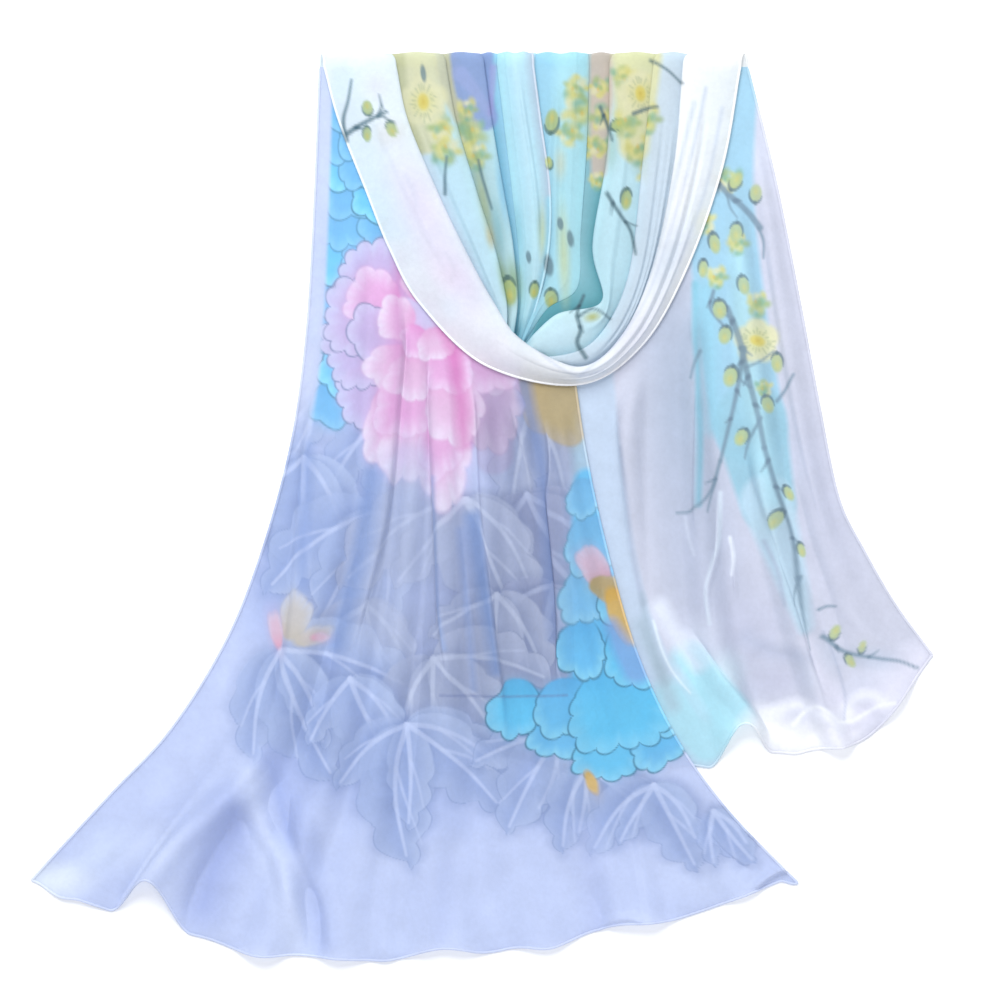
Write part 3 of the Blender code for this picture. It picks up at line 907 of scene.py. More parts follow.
def twig(cloth, stem, dye):
    """A woody stem that tapers, knotted where short spurs leave it to alternate sides."""
    stroke(cloth, stem.path, stem.start, stem.end, dye.bark, BARK_COVER, BARK_SOFT, steps=16)
    line = smooth_path(stem.path, 2 * stem.spurs + 2)
    for n in range(stem.spurs):
        here = line[2 * n + 1]
        run = line[2 * n + 2] - here
        way = math.degrees(math.atan2(run[1], run[0])) + (SPUR_ANGLE if n % 2 else -SPUR_ANGLE)
        thick = blend(stem.start, stem.end, n / stem.spurs)
        tip = placed(here, way, SPUR_LENGTH + SPUR_UNEVEN * math.sin(4.0 * n + here[0]), 0.0)
        stroke(cloth, (here, tip), 0.8 * thick, 0.5, dye.bark, BARK_COVER, BARK_SOFT, steps=3)
        wash(cloth, here, (thick, 0.7 * thick), dye.knot, 0.55, turn=way, edge=0.8)


# ---- The print of each stretch, in an open layout of common flowers, leaves and twigs, with painted shade and highlights along its folds ----


class LeafSpot(NamedTuple):
    """A leaf: its stalk's end in the laid plan, the way it points, its length, blades and dye."""

    x: float
    y: float
    heading: float
    length: float
    lobes: int
    spread: float
    dye: LeafDye


class PetalSpot(NamedTuple):
    """A petal: its root in the laid plan, the way it points, its length, width and ruffles."""

    x: float
    y: float
    heading: float
    length: float
    width: float
    ruffles: int
    dye: PetalDye


class PetalRow(NamedTuple):
    """A row of overlapping petals that all hang down: the height of their tips and its ends."""

    y: float
    left: float
    right: float
    size: float


class BudSpot(NamedTuple):
    """A bud: the tip of its stalk in the laid plan, the way it points and its length."""

    x: float
    y: float
    heading: float
    length: float


class Stem(NamedTuple):
    """A twig: its widths at start and end, its spurs and its path in the laid plan."""

    start: float
    end: float
    spurs: int
    path: tuple


class Wash(NamedTuple):
    """A soft patch of colour, used for print and for painted shade and light: its middle, half sizes and
    turn in the laid plan, colour and cover.
    """

    x: float
    y: float
    across: float
    along: float
    turn: float
    colour: str
    cover: float


class Line(NamedTuple):
    """A soft brush line: its widths at start and end, softness, colour, cover and path."""

    start: float
    end: float
    soft: float
    colour: str
    cover: float
    path: tuple


LONG_WASHES = table(
    Wash,
    (-62, -58, 92, 128, 0, "#9DAEDA", 0.95),
    (10, -48, 66, 112, 0, "#A2ADCF", 0.95),
    (-112, -30, 36, 84, -18, "#97ACDD", 0.85),
    (40, -96, 40, 56, 0, "#96A0C2", 0.85),
    (-40, -70, 34, 50, 0, "#A3AFD1", 0.75),
    (62, -178, 92, 34, -8, "#9DB0DC", 0.85),
    (-92, -150, 62, 44, 0, "#A2B4E2", 0.75),
    (-40, -176, 70, 40, 0, "#A6B8E4", 0.6),
    # Painted highlight: a pale patch on the ridge that runs up from the hem's notch.
    (-200, -206, 34, 22, 36, "#DCE6FB", 0.7),
    (-256, -226, 34, 17, 8, "#E8F1F8", 0.9),
    (-228, -208, 30, 20, 30, "#D4E0F6", 0.6),
    (-60, -262, 90, 26, 0, "#CAD6F2", 0.45),
    (20, -240, 70, 34, 0, "#CBD7F4", 0.5),
    (132, -226, 70, 22, -6, "#CDD8F1", 0.45),
)
LONG_LEAVES = table(
    LeafSpot,
    (-98, 64, -122, 50, 2, 54, BLUE_LEAF),
    (-64, 52, -104, 60, 2, 50, BLUE_LEAF),
    (28, 60, -106, 62, 3, 52, GREY_LEAF),
    (-106, 28, -96, 78, 3, 46, BLUE_LEAF),
    (-64, -4, -116, 78, 3, 52, BLUE_LEAF),
    (26, 6, -72, 88, 3, 46, DUSK_LEAF),
    (-12, 3, -98, 84, 4, 52, GREY_LEAF),
    (40, -48, -104, 66, 3, 50, DUSK_LEAF),
    (-72, -58, -84, 66, 3, 52, GREY_LEAF),
    (8, -54, -98, 62, 3, 54, GREY_LEAF),
    (-121, -87, -65, 78, 4, 40, BLUE_LEAF),
    (-30, -92, -66, 72, 4, 48, GREY_LEAF),
    (-80, -104, -76, 62, 3, 50, BLUE_LEAF),
    (-46, -132, -76, 74, 5, 42, BLUE_LEAF),
    (44, -138, -126, 60, 3, 50, BLUE_LEAF),
    (62, -158, -84, 48, 3, 48, BLUE_LEAF),
    (102, -168, -92, 52, 4, 48, BLUE_LEAF),
    (138, -184, -60, 36, 3, 44, BLUE_LEAF),
)
LONG_BLUE_LEFT = table(
    PetalRow,
    (46, -98, -84, 22),
    (66, -98, -78, 26),
    (92, -100, -92, 20),
    (112, -98, -84, 20),
    (132, -98, -66, 24),
    (152, -98, -52, 25),
    (170, -98, -54, 24),
    (188, -98, -58, 26),
    (206, -97, -62, 24),
    (224, -97, -70, 25),
    (242, -97, -78, 24),
    (260, -97, -84, 24),
)
LONG_BLUE_RIGHT = table(
    PetalSpot,
    (42, -114, -80, 38, 46, 6, AQUA_PETAL),
    (70, -126, -78, 38, 50, 7, BLUE_PETAL),
    (98, -122, -62, 36, 46, 6, AQUA_PETAL),
    (22, -98, -96, 42, 36, 5, BLUE_PETAL),
    (46, -98, -82, 40, 42, 5, AQUA_PETAL),
    (96, -98, -66, 42, 42, 6, AQUA_PETAL),
    (74, -88, -78, 62, 66, 8, BLUE_PETAL),
    (60, -62, -92, 42, 30, 5, AQUA_PETAL),
    (82, -64, -72, 46, 42, 6, BLUE_PETAL),
    (62, -28, -92, 44, 28, 5, SKY_PETAL),
    (76, -36, -74, 38, 30, 5, AQUA_PETAL),
    (62, 0, -86, 42, 32, 5, SKY_PETAL),
    (60, 20, -90, 28, 22, 5, SKY_PETAL),
)
LONG_FLOWER = table(
    PetalSpot,
    (-44, 118, 98, 40, 48, 8, LILAC_PETAL),
    (-50, 84, 226, 44, 44, 7, LILAC_PETAL),
    (-46, 100, 196, 51, 50, 9, LILAC_PETAL),
    (-47, 114, 136, 49, 54, 9, LILAC_PETAL),
    (-46, 104, 166, 50, 52, 8, LILAC_PETAL),
    (-15, 102, -68, 72, 46, 6, DUSKY_PETAL),
    (-18, 100, -30, 44, 44, 5, DUSKY_PETAL),
    (-50, 84, -98, 66, 36, 5, PINK_PETAL),
    (-29, 82, -86, 81, 32, 5, PINK_PETAL),
    (-42, 80, -93, 68, 40, 6, PINK_PETAL),
    (-26, 76, -89, 61, 28, 4, ROSE_PETAL),
    (-48, 110, 146, 38, 40, 5, ROSE_PETAL),
    (-44, 104, 186, 36, 38, 4, LILAC_PETAL),
    (-40, 96, 228, 36, 36, 4, PINK_PETAL),
    (-34, 116, 88, 30, 36, 4, PINK_PETAL),
    (-16, 106, -46, 46, 38, 4, ROSE_PETAL),
    (-40, 90, -102, 52, 38, 4, ROSE_PETAL),
    (-24, 92, -78, 56, 36, 5, PINK_PETAL),
    (-38, 106, 160, 26, 30, 4, PINK_PETAL),
    (-22, 112, -20, 28, 30, 4, PINK_PETAL),
    (-36, 98, -110, 38, 32, 4, PINK_PETAL),
    (-26, 102, -76, 36, 30, 4, ROSE_PETAL),
    (-34, 108, 230, 22, 24, 3, ROSE_PETAL),
    (-30, 110, -84, 24, 24, 4, PINK_PETAL),
)
FLOWER_WASHES = table(
    Wash,
    (-48, 102, 44, 50, 0, "#CDBDDF", 0.95),
    (-32, 60, 30, 50, -4, "#DDC2E2", 0.95),
)
BLUE_WASHES = table(
    Wash,
    (-84, 160, 34, 120, 0, "#78C6F0", 0.9),
    (-92, 62, 14, 24, 0, "#78C6F0", 0.85),
)
BLUE_GROUND = table(
    Line,
    (12, 16, 3.0, "#B4D3E4", 0.85, ((56, 48), (60, 30), (62, 10))),
    (15, 26, 2.0, "#72CBF4", 0.95, ((62, 14), (62, 2), (64, -20), (69, -44))),
    (26, 58, 2.0, "#6CC9F5", 0.95, ((69, -44), (73, -70), (78, -92), (80, -108))),
    (22, 26, 2.0, "#6CC9F5", 0.95, ((18, -120), (40, -124), (70, -128), (100, -136))),
)
LONG_OCHRE = table(
    PetalSpot,
    (6, 98, -58, 50, 30, 3, BLUSH_PETAL),
    (26, 100, -66, 66, 44, 3, OCHRE_PETAL),
    (78, -54, 126, 34, 18, 2, BLUSH_PETAL),
    (60, -46, -16, 24, 16, 3, OCHRE_PETAL),
    (72, -44, -62, 44, 18, 2, GOLD_PETAL),
    (60, -157, -62, 17, 7, 1, GOLD_PETAL),
)
LONG_BUD = table(
    PetalSpot,
    (-117, -86, 76, 34, 20, 3, CREAM_PETAL),
    (-116, -84, 20, 26, 12, 2, CREAM_PETAL),
    (-121, -90, 102, 26, 9, 1, BLUSH_PETAL),
    (-105, -80, 6, 12, 6, 1, BLUSH_PETAL),
)
# Soft lines over the print: most are painted shade and highlights along the folds and creases, the rest
# are print.
LONG_LINES_PRINT_AND_SHADING = table(
    Line,
    # Painted shade: two magenta bands down the rosette, along its folds.
    (7, 3, 3.0, "#C884BE", 0.55, ((-50, 150), (-53, 110), (-56, 70), (-60, 42))),
    (9, 6, 3.0, "#D272B8", 0.65, ((-30, 122), (-20, 98), (-15, 66), (-13, 36))),
    # Painted shade: a grey-lilac band on the rosette's right, beside a fold where the cloth lies
    # doubled.
    (26, 24, 1.5, "#A994B8", 0.36, ((5, 96), (5, 64), (6, 30))),
    # Painted highlight: a pale band down the middle of the leaves, along a fold.
    (34, 50, 6.0, "#B9C4DF", 0.5, ((-46, 22), (-50, -24), (-56, -66))),
    # Painted shade: darker blue lines along the creases.
    (8, 4, 2.4, "#6F92CA", 0.65, ((-8, -8), (-4, -40), (0, -66), (5, -100))),
    (3, 2, 1.4, "#8DB0E6", 0.5, ((-28, 16), (-27, -20), (-25, -60), (-21, -86))),
    (9, 3, 3.0, "#7490C6", 0.65, ((24, 72), (34, 20), (38, -40), (40, -80))),
    (9, 8, 3.0, "#7F9DD2", 0.6, ((-67, 18), (-72, -18), (-80, -52), (-88, -84))),
    (6, 3, 2.5, "#88A2D6", 0.5, ((-104, 36), (-106, -10), (-108, -52))),
    (5, 3, 2.0, "#86A0D2", 0.5, ((-14, -16), (-9, -70), (-6, -110))),
    # Painted shade in the hollows and troughs near the hem, with a painted highlight (the pale line) on
    # the bright ridge.
    (16, 10, 7.0, "#A5B6E4", 0.8, ((-126, -156), (-122, -176), (-116, -200))),
    (30, 20, 11.0, "#A9B8E4", 0.85, ((-146, -186), (-158, -208), (-168, -240))),
    (12, 18, 7.0, "#D8E3FB", 0.75, ((-140, -160), (-132, -196), (-118, -232), (-112, -270))),
    (14, 10, 7.0, "#B3C2EA", 0.65, ((-112, -176), (-104, -216), (-96, -262))),
    (12, 10, 8.0, "#B9C6EC", 0.5, ((60, -196), (66, -226), (70, -262))),
    (10, 8, 8.0, "#BAC7EC", 0.45, ((-22, -218), (-25, -250), (-26, -285))),
    (8, 18, 3.0, "#8FB2E6", 0.75, ((77, -72), (83, -84), (92, -98))),
    (1.2, 1.2, 0.7, "#7482B0", 0.6, ((-26, -114), (14, -115), (50, -114))),
)
BORDER_SHARE = 0.060  # of the long tail's width, its unprinted left border
BORDER_SCALE = 200.0  # millimetres of that width, for the softness of the border's edge
BORDER_SOFT = 1.6
BORDER_COVER = 0.95
BORDER_END_Y = 20.0  # below this height the print runs out to the hem
BORDER_FADE = 50.0  # over which it does so

SHORT_WASHES = table(
    Wash,
    (118, 56, 40, 190, 4, "#B0BDD0", 0.85),
    (132, -30, 42, 90, 8, "#C2C9DC", 0.75),
    (156, -80, 46, 56, 20, "#C6CADD", 0.75),
    (204, 0, 34, 90, 16, "#CDD1E2", 0.7),
    (166, 222, 16, 60, 4, "#DDE2F0", 0.6),
    (126, -84, 18, 30, -36, "#DFE6F4", 0.8),
    (140, -104, 20, 26, -40, "#DDF1F8", 0.75),
    (120, -128, 24, 30, -10, "#B2E0F0", 0.85),
    (148, -132, 24, 17, -30, "#B4E9F5", 0.95),
    (103, -110, 13, 34, -28, "#ACCEDD", 0.75),
    (236, -100, 34, 16, 30, "#E2E5F3", 0.7),
    (200, -96, 20, 24, -20, "#C4D2E2", 0.45),
    (232, -92, 30, 10, -8, "#C3CFE2", 0.55),
    (176, -106, 26, 14, 10, "#CBCDE0", 0.6),
)
# Lines over the ground: the pale border and the aqua strip are print; many others are painted shade and
# highlights along the creases and the turned-up hem.
SHORT_LINES_PRINT_AND_SHADING = table(
    Line,
    (
        26, 32, 1.6, "#C5D6E8", 0.88,
        ((60, 110), (69, 40), (76, -20), (85, -66), (106, -116), (140, -170)),
    ),
    # Painted shadow along the pale border's folded edge.
    (2.4, 3.0, 1.2, "#AEB7CC", 0.55, ((84, 34), (87, 12), (91, -33), (96, -60))),
    (38, 44, 1.6, "#A6D2E6", 0.95, ((146, 262), (142, 190), (148, 120), (156, 66), (160, 46))),
    (44, 33, 1.8, "#A0CCDC", 0.95, ((160, 50), (165, 26), (171, 0))),
    (32, 12, 2.2, "#C2DCEA", 0.95, ((170, 2), (175, -14), (182, -36), (193, -72))),
    (16, 26, 4.0, "#B6EAF5", 0.9, ((122, -92), (134, -108), (146, -124), (150, -136))),
    (22, 24, 4.0, "#B0DFEA", 0.85, ((112, -116), (122, -132), (134, -144))),
    # Painted shade in a fold at the pale border's foot.
    (8, 10, 3.5, "#AABECB", 0.6, ((94, -72), (99, -86), (107, -103), (113, -120))),
    # Painted shade along a faint crease.
    (4, 3, 1.4, "#7FC3D6", 0.75, ((127, 132), (128, 84), (130, 44), (129, 0))),
    (12, 8, 4.0, "#9FD6E8", 0.7, ((133, 128), (136, 80), (137, 46))),
    (9, 12, 4.0, "#BFEAF6", 0.75, ((152, 150), (156, 96), (166, 40), (176, 4))),
    (9, 14, 3.0, "#E8E8F5", 0.92, ((196, -82), (206, -108), (217, -134))),
    # Painted highlights on the ridges of the turned-up hem.
    (22, 20, 7.0, "#FAFBFE", 0.95, ((166, -134), (190, -142), (214, -135))),
    (18, 16, 7.0, "#EAEAF7", 0.85, ((214, -134), (232, -124), (248, -108), (262, -92))),
    (8, 6, 3.0, "#F4F6FE", 0.9, ((170, -126), (188, -120), (202, -126), (214, -133))),
    (7, 5, 3.0, "#F4F6FE", 0.85, ((212, -132), (222, -118), (232, -114), (240, -118))),
    (11, 7, 3.5, "#E8EEF9", 0.75, ((106, -62), (116, -80), (128, -97))),
    # Painted shadow beside a fold, and a painted highlight on that fold's edge.
    (2.6, 6, 2.2, "#A0B5C2", 0.55, ((95, -54), (98, -72), (103, -90), (109, -106))),
    (1.6, 0.8, 0.8, "#EFFAFD", 0.75, ((102, -70), (107, -87), (114, -101), (124, -113))),
    # Painted highlights on the hem's curls.
    (2.2, 1.8, 1.0, "#FBFDFF", 0.9, ((186, -132), (192, -125), (199, -121), (206, -124), (213, -130))),
    (2.2, 1.8, 1.0, "#FBFDFF", 0.9, ((213, -130), (220, -130), (228, -126), (238, -120), (246, -119))),
    (1.4, 1.0, 0.8, "#AEB8CE", 0.55, ((204, -76), (212, -96), (217, -116), (216, -129))),
    # Painted highlights along two fine creases.
    (2.6, 2, 1.0, "#DFEBF6", 0.8, ((142, 7), (141, -22), (136, -38), (133, -52), (135, -71))),
    (2.4, 2, 0.8, "#ECF2FA", 0.85, ((148, -20), (150, -31), (149, -42))),
    (2.0, 1.6, 1.0, "#DCE4F2", 0.55, ((121, -8), (123, -20), (126, -30))),
    (2.4, 2, 1.2, "#B0B9CE", 0.6, ((168, -22), (176, -40), (180, -60))),
    (9, 7, 4.0, "#BFC6DA", 0.6, ((158, -80), (174, -88), (196, -92))),
)
SHORT_STEMS = table(
    Stem,
    (3.4, 3.8, 2, ((136, 198), (147, 186), (158, 176), (166, 166))),
    (2.0, 1.4, 0, ((165, 166), (168, 158), (168, 148))),
    (2.2, 1.6, 1, ((138, 128), (136, 118), (145, 106))),
    (3.8, 3.0, 4, ((146, 118), (153, 100), (158, 78), (164, 54), (168, 34))),
    (3.0, 2.1, 4, ((168, 34), (176, 8), (184, -14), (190, -44))),
    (2.2, 1.0, 0, ((190, -43), (193, -59), (198, -86))),
    (1.6, 0.8, 0, ((191, -43), (189, -52), (187, -60))),
    (1.6, 1.0, 0, ((157, 82), (166, 86), (174, 92))),
    (1.6, 1.0, 0, ((160, 70), (153, 76), (150, 84))),
    (1.5, 0.9, 0, ((149, 112), (141, 116), (138, 124))),
    (1.5, 0.9, 0, ((146, 186), (148, 178), (152, 172))),
    (3.2, 2.2, 3, ((156, 94), (152, 68), (147, 46), (142, 26))),
    (2.4, 1.4, 1, ((142, 26), (136, 8), (124, -4), (116, -5))),
    (1.6, 1.1, 0, ((139, 14), (136, 4), (134, -4))),
    (2.2, 1.6, 0, ((176, 62), (182, 70), (186, 78))),
    (2.0, 1.4, 0, ((166, 52), (160, 40), (157, 28))),
    (2.8, 1.6, 2, ((204, -79), (216, -88), (236, -92), (250, -94), (260, -98))),
    (1.8, 1.3, 0, ((201, -63), (206, -61), (211, -61))),
    (2.0, 1.4, 0, ((130, 92), (126, 84), (124, 76))),
)
SHORT_BUDS = table(
    BudSpot,
    (148, 188, 60, 14),
    (163, 180, 88, 13),
    (152, 170, -96, 14),
    (137, 164, -78, 15),
    (132, 148, -92, 13),
    (154, 138, -76, 14),
    (141, 124, -84, 14),
    (146, 108, -100, 13),
    (150, 84, -104, 15),
    (176, 92, -88, 14),
    (168, 66, -70, 13),
    (158, 46, -120, 13),
    (180, 12, -60, 12),
    (179, -2, -112, 14),
    (189, -22, -72, 11),
    (208, -82, 62, 12),
    (225, -90, 70, 10),
    (217, -89, -58, 11),
)
SHORT_BLOSSOMS = ((164, 98, 14),)  # x, y and radius
SHORT_POSIES = (  # x, y and half size
    (164, 120, 7), (140, 136, 6), (152, 156, 6), (148, 194, 7), (132, 170, 7), (168, 70, 5),
)

SWAG_GROUND_COLOURS = {
    "white": "#FBFCF9",
    "milk": "#EDF7FA",
    "snow": "#F8FBFF",
    "chalk": "#FFFFFF",
    "ice": "#D6E6F0",
    "dew": "#C9EAF3",
    "frost": "#C8ECF4",
    "glow": "#D9F6FC",
    "aqua": "#B6E8F1",
    "sky": "#A6DAEE",
    "mist": "#BFCEDC",
    "sea": "#98CAD4",
    "lagoon": "#69B1BA",
    "teal": "#6FB6CC",
    "moss": "#A9C9C4",
}
# The deeper tones just past a folded edge, moss from 4.1 to 4.7 on the left and teal and lagoon across
# the low pleat from 6.1 to 7.9, are partly print and partly painted shade, where the cloth lies under
# that edge.
SWAG_TONES = (  # from a place across the swag: its colour on the left, at the base, on the right
    (0.0, "milk", "chalk", "white"),
    (0.6, "milk", "snow", "chalk"),
    (1.9, "milk", "snow", "chalk"),
    (2.1, "ice", "mist", "ice"),
    (2.8, "dew", "ice", "ice"),
    (3.9, "dew", "ice", "ice"),
    (4.1, "moss", "frost", "frost"),
    (4.7, "moss", "glow", "frost"),
    (5.9, "frost", "glow", "frost"),
    (6.1, "teal", "lagoon", "lagoon"),
    (7.9, "sky", "lagoon", "sea"),
    (8.1, "aqua", "aqua", "aqua"),
    (9.8, "frost", "aqua", "aqua"),
    (10.8, "frost", "lagoon", "sky"),
    (12.0, "mist", "teal", "sky"),
)
LEFT_LIMB_END = 3.6  # station where the left limb begins to turn into the base
LEFT_DYE_RUN = 1.6  # stations over which its colours change to the base's
RIGHT_LIMB_START = 6.2  # station where the base's colours begin to change to the right limb's
RIGHT_DYE_RUN = 1.4
BAND_PLACE = 2.05  # the band's folded edge, across the swag
SWAG_BLOSSOMS = ((-36, 241, 15), (94, 246, 14))  # x, y and radius
SWAG_POSIES = (  # x, y and half size
    (-25, 226, 7), (-23, 212, 8), (-8, 222, 9), (-4, 208, 7), (-10, 236, 6),
    (55, 250, 7), (57, 236, 9), (52, 222, 7), (60, 216, 7), (70, 250, 6),
    (71, 232, 7), (70, 214, 6), (84, 256, 7), (104, 250, 8), (86, 228, 8),
    (98, 230, 8), (92, 212, 8), (99, 198, 6), (68, 194, 5),
)
SWAG_WASHES = table(
    Wash,
    (-38, 250, 12, 26, 8, "#DEDCBE", 0.95),
    (-28, 224, 10, 20, 16, "#D9DFB4", 0.85),
    (-10, 222, 9, 26, 12, "#AEC08C", 0.85),
    (-51, 244, 6, 24, 12, "#C6C79F", 0.8),
    (0, 182, 5, 34, 11, "#B4C49A", 0.8),
    (11, 188, 4, 34, 8, "#93CDE6", 0.8),
    (4, 160, 4, 12, 10, "#CDC393", 0.7),
    (-25, 212, 7, 14, 12, "#B6CFA6", 0.8),
    (12, 134, 4, 22, 12, "#9DB98C", 0.75),
    # Painted shade on a narrow pleat.
    (9, 166, 5, 28, 9, "#8FC2C7", 0.7),
    (21, 164, 5, 26, 5, "#8FCCDB", 0.5),
    (34, 166, 4, 22, 2, "#9FC4C9", 0.65),
    (76, 212, 7, 18, 2, "#A9CDC2", 0.55),
    # Painted light: a pale patch that brightens the base's hollow, which lies in shade.
    (68, 103, 12, 8, 0, "#D0F4FD", 0.65),
    (18, 134, 8, 20, 8, "#8FB07C", 0.7),
    (66, 232, 9, 36, 2, "#BCC79C", 0.75),
    (74, 246, 8, 24, 0, "#DCC9B8", 0.85),
    (88, 240, 13, 34, 0, "#DEE1AE", 0.85),
    (92, 212, 8, 22, 6, "#BFD3B4", 0.65),
    (48, 150, 6, 46, 2, "#CFDCA6", 0.75),
    (36, 160, 5, 30, 2, "#D3DFAC", 0.65),
    (46, 204, 6, 16, 0, "#D8D9B4", 0.6),
    (22, 100, 10, 16, 0, "#4E9DB3", 0.8),
    (65, 112, 8, 4.4, 12, "#C6CB7C", 0.95),
    (-25, 211, 8, 15, 14, "#96D5CE", 0.92),
)
BAND_WASHES = table(
    Wash,
    (-36, 176, 24, 60, 26, "#F0E6F3", 0.8),
    (-16, 136, 19, 38, 36, "#EFE4F2", 0.85),
    (-56, 222, 16, 14, 20, "#E9E8E2", 0.7),
    (-64, 250, 12, 14, 10, "#E8E6EE", 0.5),
    (92, 104, 14, 36, -40, "#EEF0FA", 0.6),
    (112, 148, 12, 52, -22, "#DEE9F4", 0.75),
    # Painted shade: a bluish tint on the band's low edge, which lies in shade.
    (24, 85, 26, 9, 4, "#F6FAFF", 0.8),
)
SWAG_PATCHES = table(
    Line,
    (30, 24, 1.6, "#DFDEB4", 0.88, ((-42, 268), (-38, 244), (-33, 222))),
    (10, 6, 1.6, "#C3C79E", 0.75, ((-52, 268), (-48, 240), (-38, 212))),
    (12, 8, 1.6, "#CDC9A6", 0.8, ((-22, 268), (-20, 246), (-14, 232))),
    (26, 17, 1.2, "#93A9D6", 0.92, ((-7, 268), (-6, 248), (0, 232))),
    (9, 4, 1.4, "#A9B6E0", 0.55, ((-14, 258), (-4, 246), (4, 232))),
    (4, 3, 1.0, "#A9A9DA", 0.7, ((6, 262), (5, 246), (4, 234))),
    (15, 9, 1.6, "#D6C5B6", 0.85, ((71, 268), (70, 236), (69, 200))),
    (30, 18, 1.8, "#E3E2B0", 0.88, ((92, 268), (91, 240), (90, 214))),
    (5, 6, 1.4, "#A6DAE9", 0.85, ((39.5, 182), (39, 155), (32.5, 122), (25, 100))),
)
# Painted shade: thin grey lines along the band's small creases.
BAND_SHADE_LINES = table(
    Line,
    (
        2.0, 1.2, 1.1, "#CDD5E4", 0.6,
        ((133, 249), (124, 207), (111, 162), (97, 123), (79, 96), (58, 77)),
    ),
    (2.6, 1.4, 1.3, "#C8D5E0", 0.6, ((126, 240), (115, 195), (103, 147), (90, 117))),
    (2.2, 1.4, 1.2, "#DCE2EE", 0.6, ((143, 237), (133, 189), (117, 145))),
    (1.6, 1.0, 0.9, "#D0D8E8", 0.6, ((30, 96), (42, 84), (56, 77), (72, 80))),
    (3.0, 1.6, 1.6, "#D9DAE4", 0.5, ((-46, 196), (-42, 188), (-40, 178))),
    (2.4, 1.2, 1.4, "#DCDCE6", 0.5, ((-22, 150), (-18, 142), (-19, 134))),
)
SWAG_STEMS = table(
    Stem,
    (3.2, 2.0, 1, ((-82, 222), (-74, 227), (-66, 231), (-58, 235))),
    (2.6, 1.4, 0, ((-82, 218), (-84, 230), (-81, 242), (-79, 254))),
    (2.4, 1.0, 0, ((-63, 232), (-61, 238), (-62, 245))),
    (1.6, 1.2, 0, ((-63, 232), (-60, 232), (-57, 230))),
    (1.4, 2.2, 0, ((-22, 208), (-23, 197), (-23, 186))),
    (1.5, 1.2, 0, ((-3, 206), (-1, 197), (2, 187), (5, 177))),
    (2.6, 1.6, 2, ((74, 186), (80, 176), (88, 164), (91, 150))),
    (2.0, 2.8, 2, ((60, 125), (56, 114), (58, 104), (56, 97), (61, 88))),
    (1.8, 1.0, 0, ((56, 112), (66, 117), (76, 111))),
    (1.8, 1.4, 0, ((100, 266), (110, 260), (119, 252))),
    (2.2, 1.6, 1, ((70, 238), (74, 228), (77, 218))),
    (2.6, 1.6, 0, ((90, 234), (98, 237), (104, 238))),
)
SWAG_BUDS = table(
    BudSpot,
    (-68, 232, 104, 11),
    (-70, 227, -86, 11),
    (-57, 230, -70, 12),
    (40, 221, 84, 17),
    (40, 200, 100, 9),
    (14, 137, -82, 20),
    (31, 134, -96, 12),
    (40, 130, -86, 14),
    (86, 190, -94, 15),
    (76, 224, 40, 11),
)
MARK_DYE = "#6E8A92"
SWAG_MARKS = (  # small oval seeds: x, y and half sizes across and along
    (46, 168, 2.4, 5.2), (52, 159, 2.6, 6.6), (39, 143, 3.8, 8.4),
    (-36, 258, 2.2, 7.0), (27, 148, 2.0, 5.0),
)
LINE_STEPS = 18

DRIFT_SPACING = 0.85  # between two petals of a row that drifts, as a share of their size
DRIFT_LENGTH = 1.5
DRIFT_WIDTH = 1.25
DRIFT_UNEVEN = 0.18
DRIFT_SWAY = 14.0  # degrees


def drift(cloth, rows, dyes):
    """Overlapping rows of hanging petals, the lowest laid down first."""
    for n, row in enumerate(rows):
        count = max(round((row.right - row.left) / (DRIFT_SPACING * row.size)), 1)
        for k in range(count):
            share = (k + 0.5) / count
            wobble = math.sin(12.9 * n + 7.3 * k)
            size = row.size * (1.0 + DRIFT_UNEVEN * wobble)
            tilt = -90.0 + DRIFT_SWAY * math.sin(5.1 * n + 3.7 * k)
            tip = (blend(row.left, row.right, share) + 0.16 * row.size * wobble, row.y)
            length, width = DRIFT_LENGTH * size, DRIFT_WIDTH * size
            root = placed(tip, tilt + 180.0, length, 0.0)
            ruffles = 3 + (n + k) % 3
            dye = dyes[(n + k) % len(dyes)]
            spot = PetalSpot(*root, tilt, length, width, ruffles, dye)
            petal(cloth, spot, phase=wobble)


def lay_petals(cloth, spots):
    for n, spot in enumerate(spots):
        petal(cloth, spot, phase=0.7 * math.sin(2.7 * n))


def lay_washes(cloth, washes):
    for spot in washes:
        half_sizes = (spot.across, spot.along)
        wash(cloth, (spot.x, spot.y), half_sizes, spot.colour, spot.cover, turn=spot.turn)


def lay_lines(cloth, lines):
    for line in lines:
        widths = (line.start, line.end)
        stroke(cloth, line.path, *widths, line.colour, line.cover, line.soft, LINE_STEPS)


def paint_long(cloth, across, colours):
    """Leaves below, blue petals down both sides and a pink flower, on periwinkle, with painted shade and
    highlights along the folds.
    """
    # ground washes, with a painted highlight on the notch ridge
    lay_washes(cloth, LONG_WASHES)
    for spot in LONG_LEAVES:
        leaf(cloth, spot)
    lay_washes(cloth, BLUE_WASHES)
    lay_lines(cloth, BLUE_GROUND)
    lay_petals(cloth, LONG_BLUE_RIGHT)
    drift(cloth, LONG_BLUE_LEFT, (DEEP_SKY_PETAL, AQUA_PETAL, DEEP_SKY_PETAL))
    lay_petals(cloth, LONG_OCHRE)
    lay_petals(cloth, LONG_BUD)
    lay_washes(cloth, FLOWER_WASHES)
    lay_petals(cloth, LONG_FLOWER)
    # print lines, and painted shade and highlights along the folds
    lay_lines(cloth, LONG_LINES_PRINT_AND_SHADING)
    every = np.arange(cloth.x.size)
    border = inside((across.ravel() - BORDER_SHARE) * BORDER_SCALE, BORDER_SOFT)
    fading = ease((cloth.y - BORDER_END_Y) / BORDER_FADE)
    cloth.dye(every, np.array(colours.border_lilac), BORDER_COVER * border * fading)


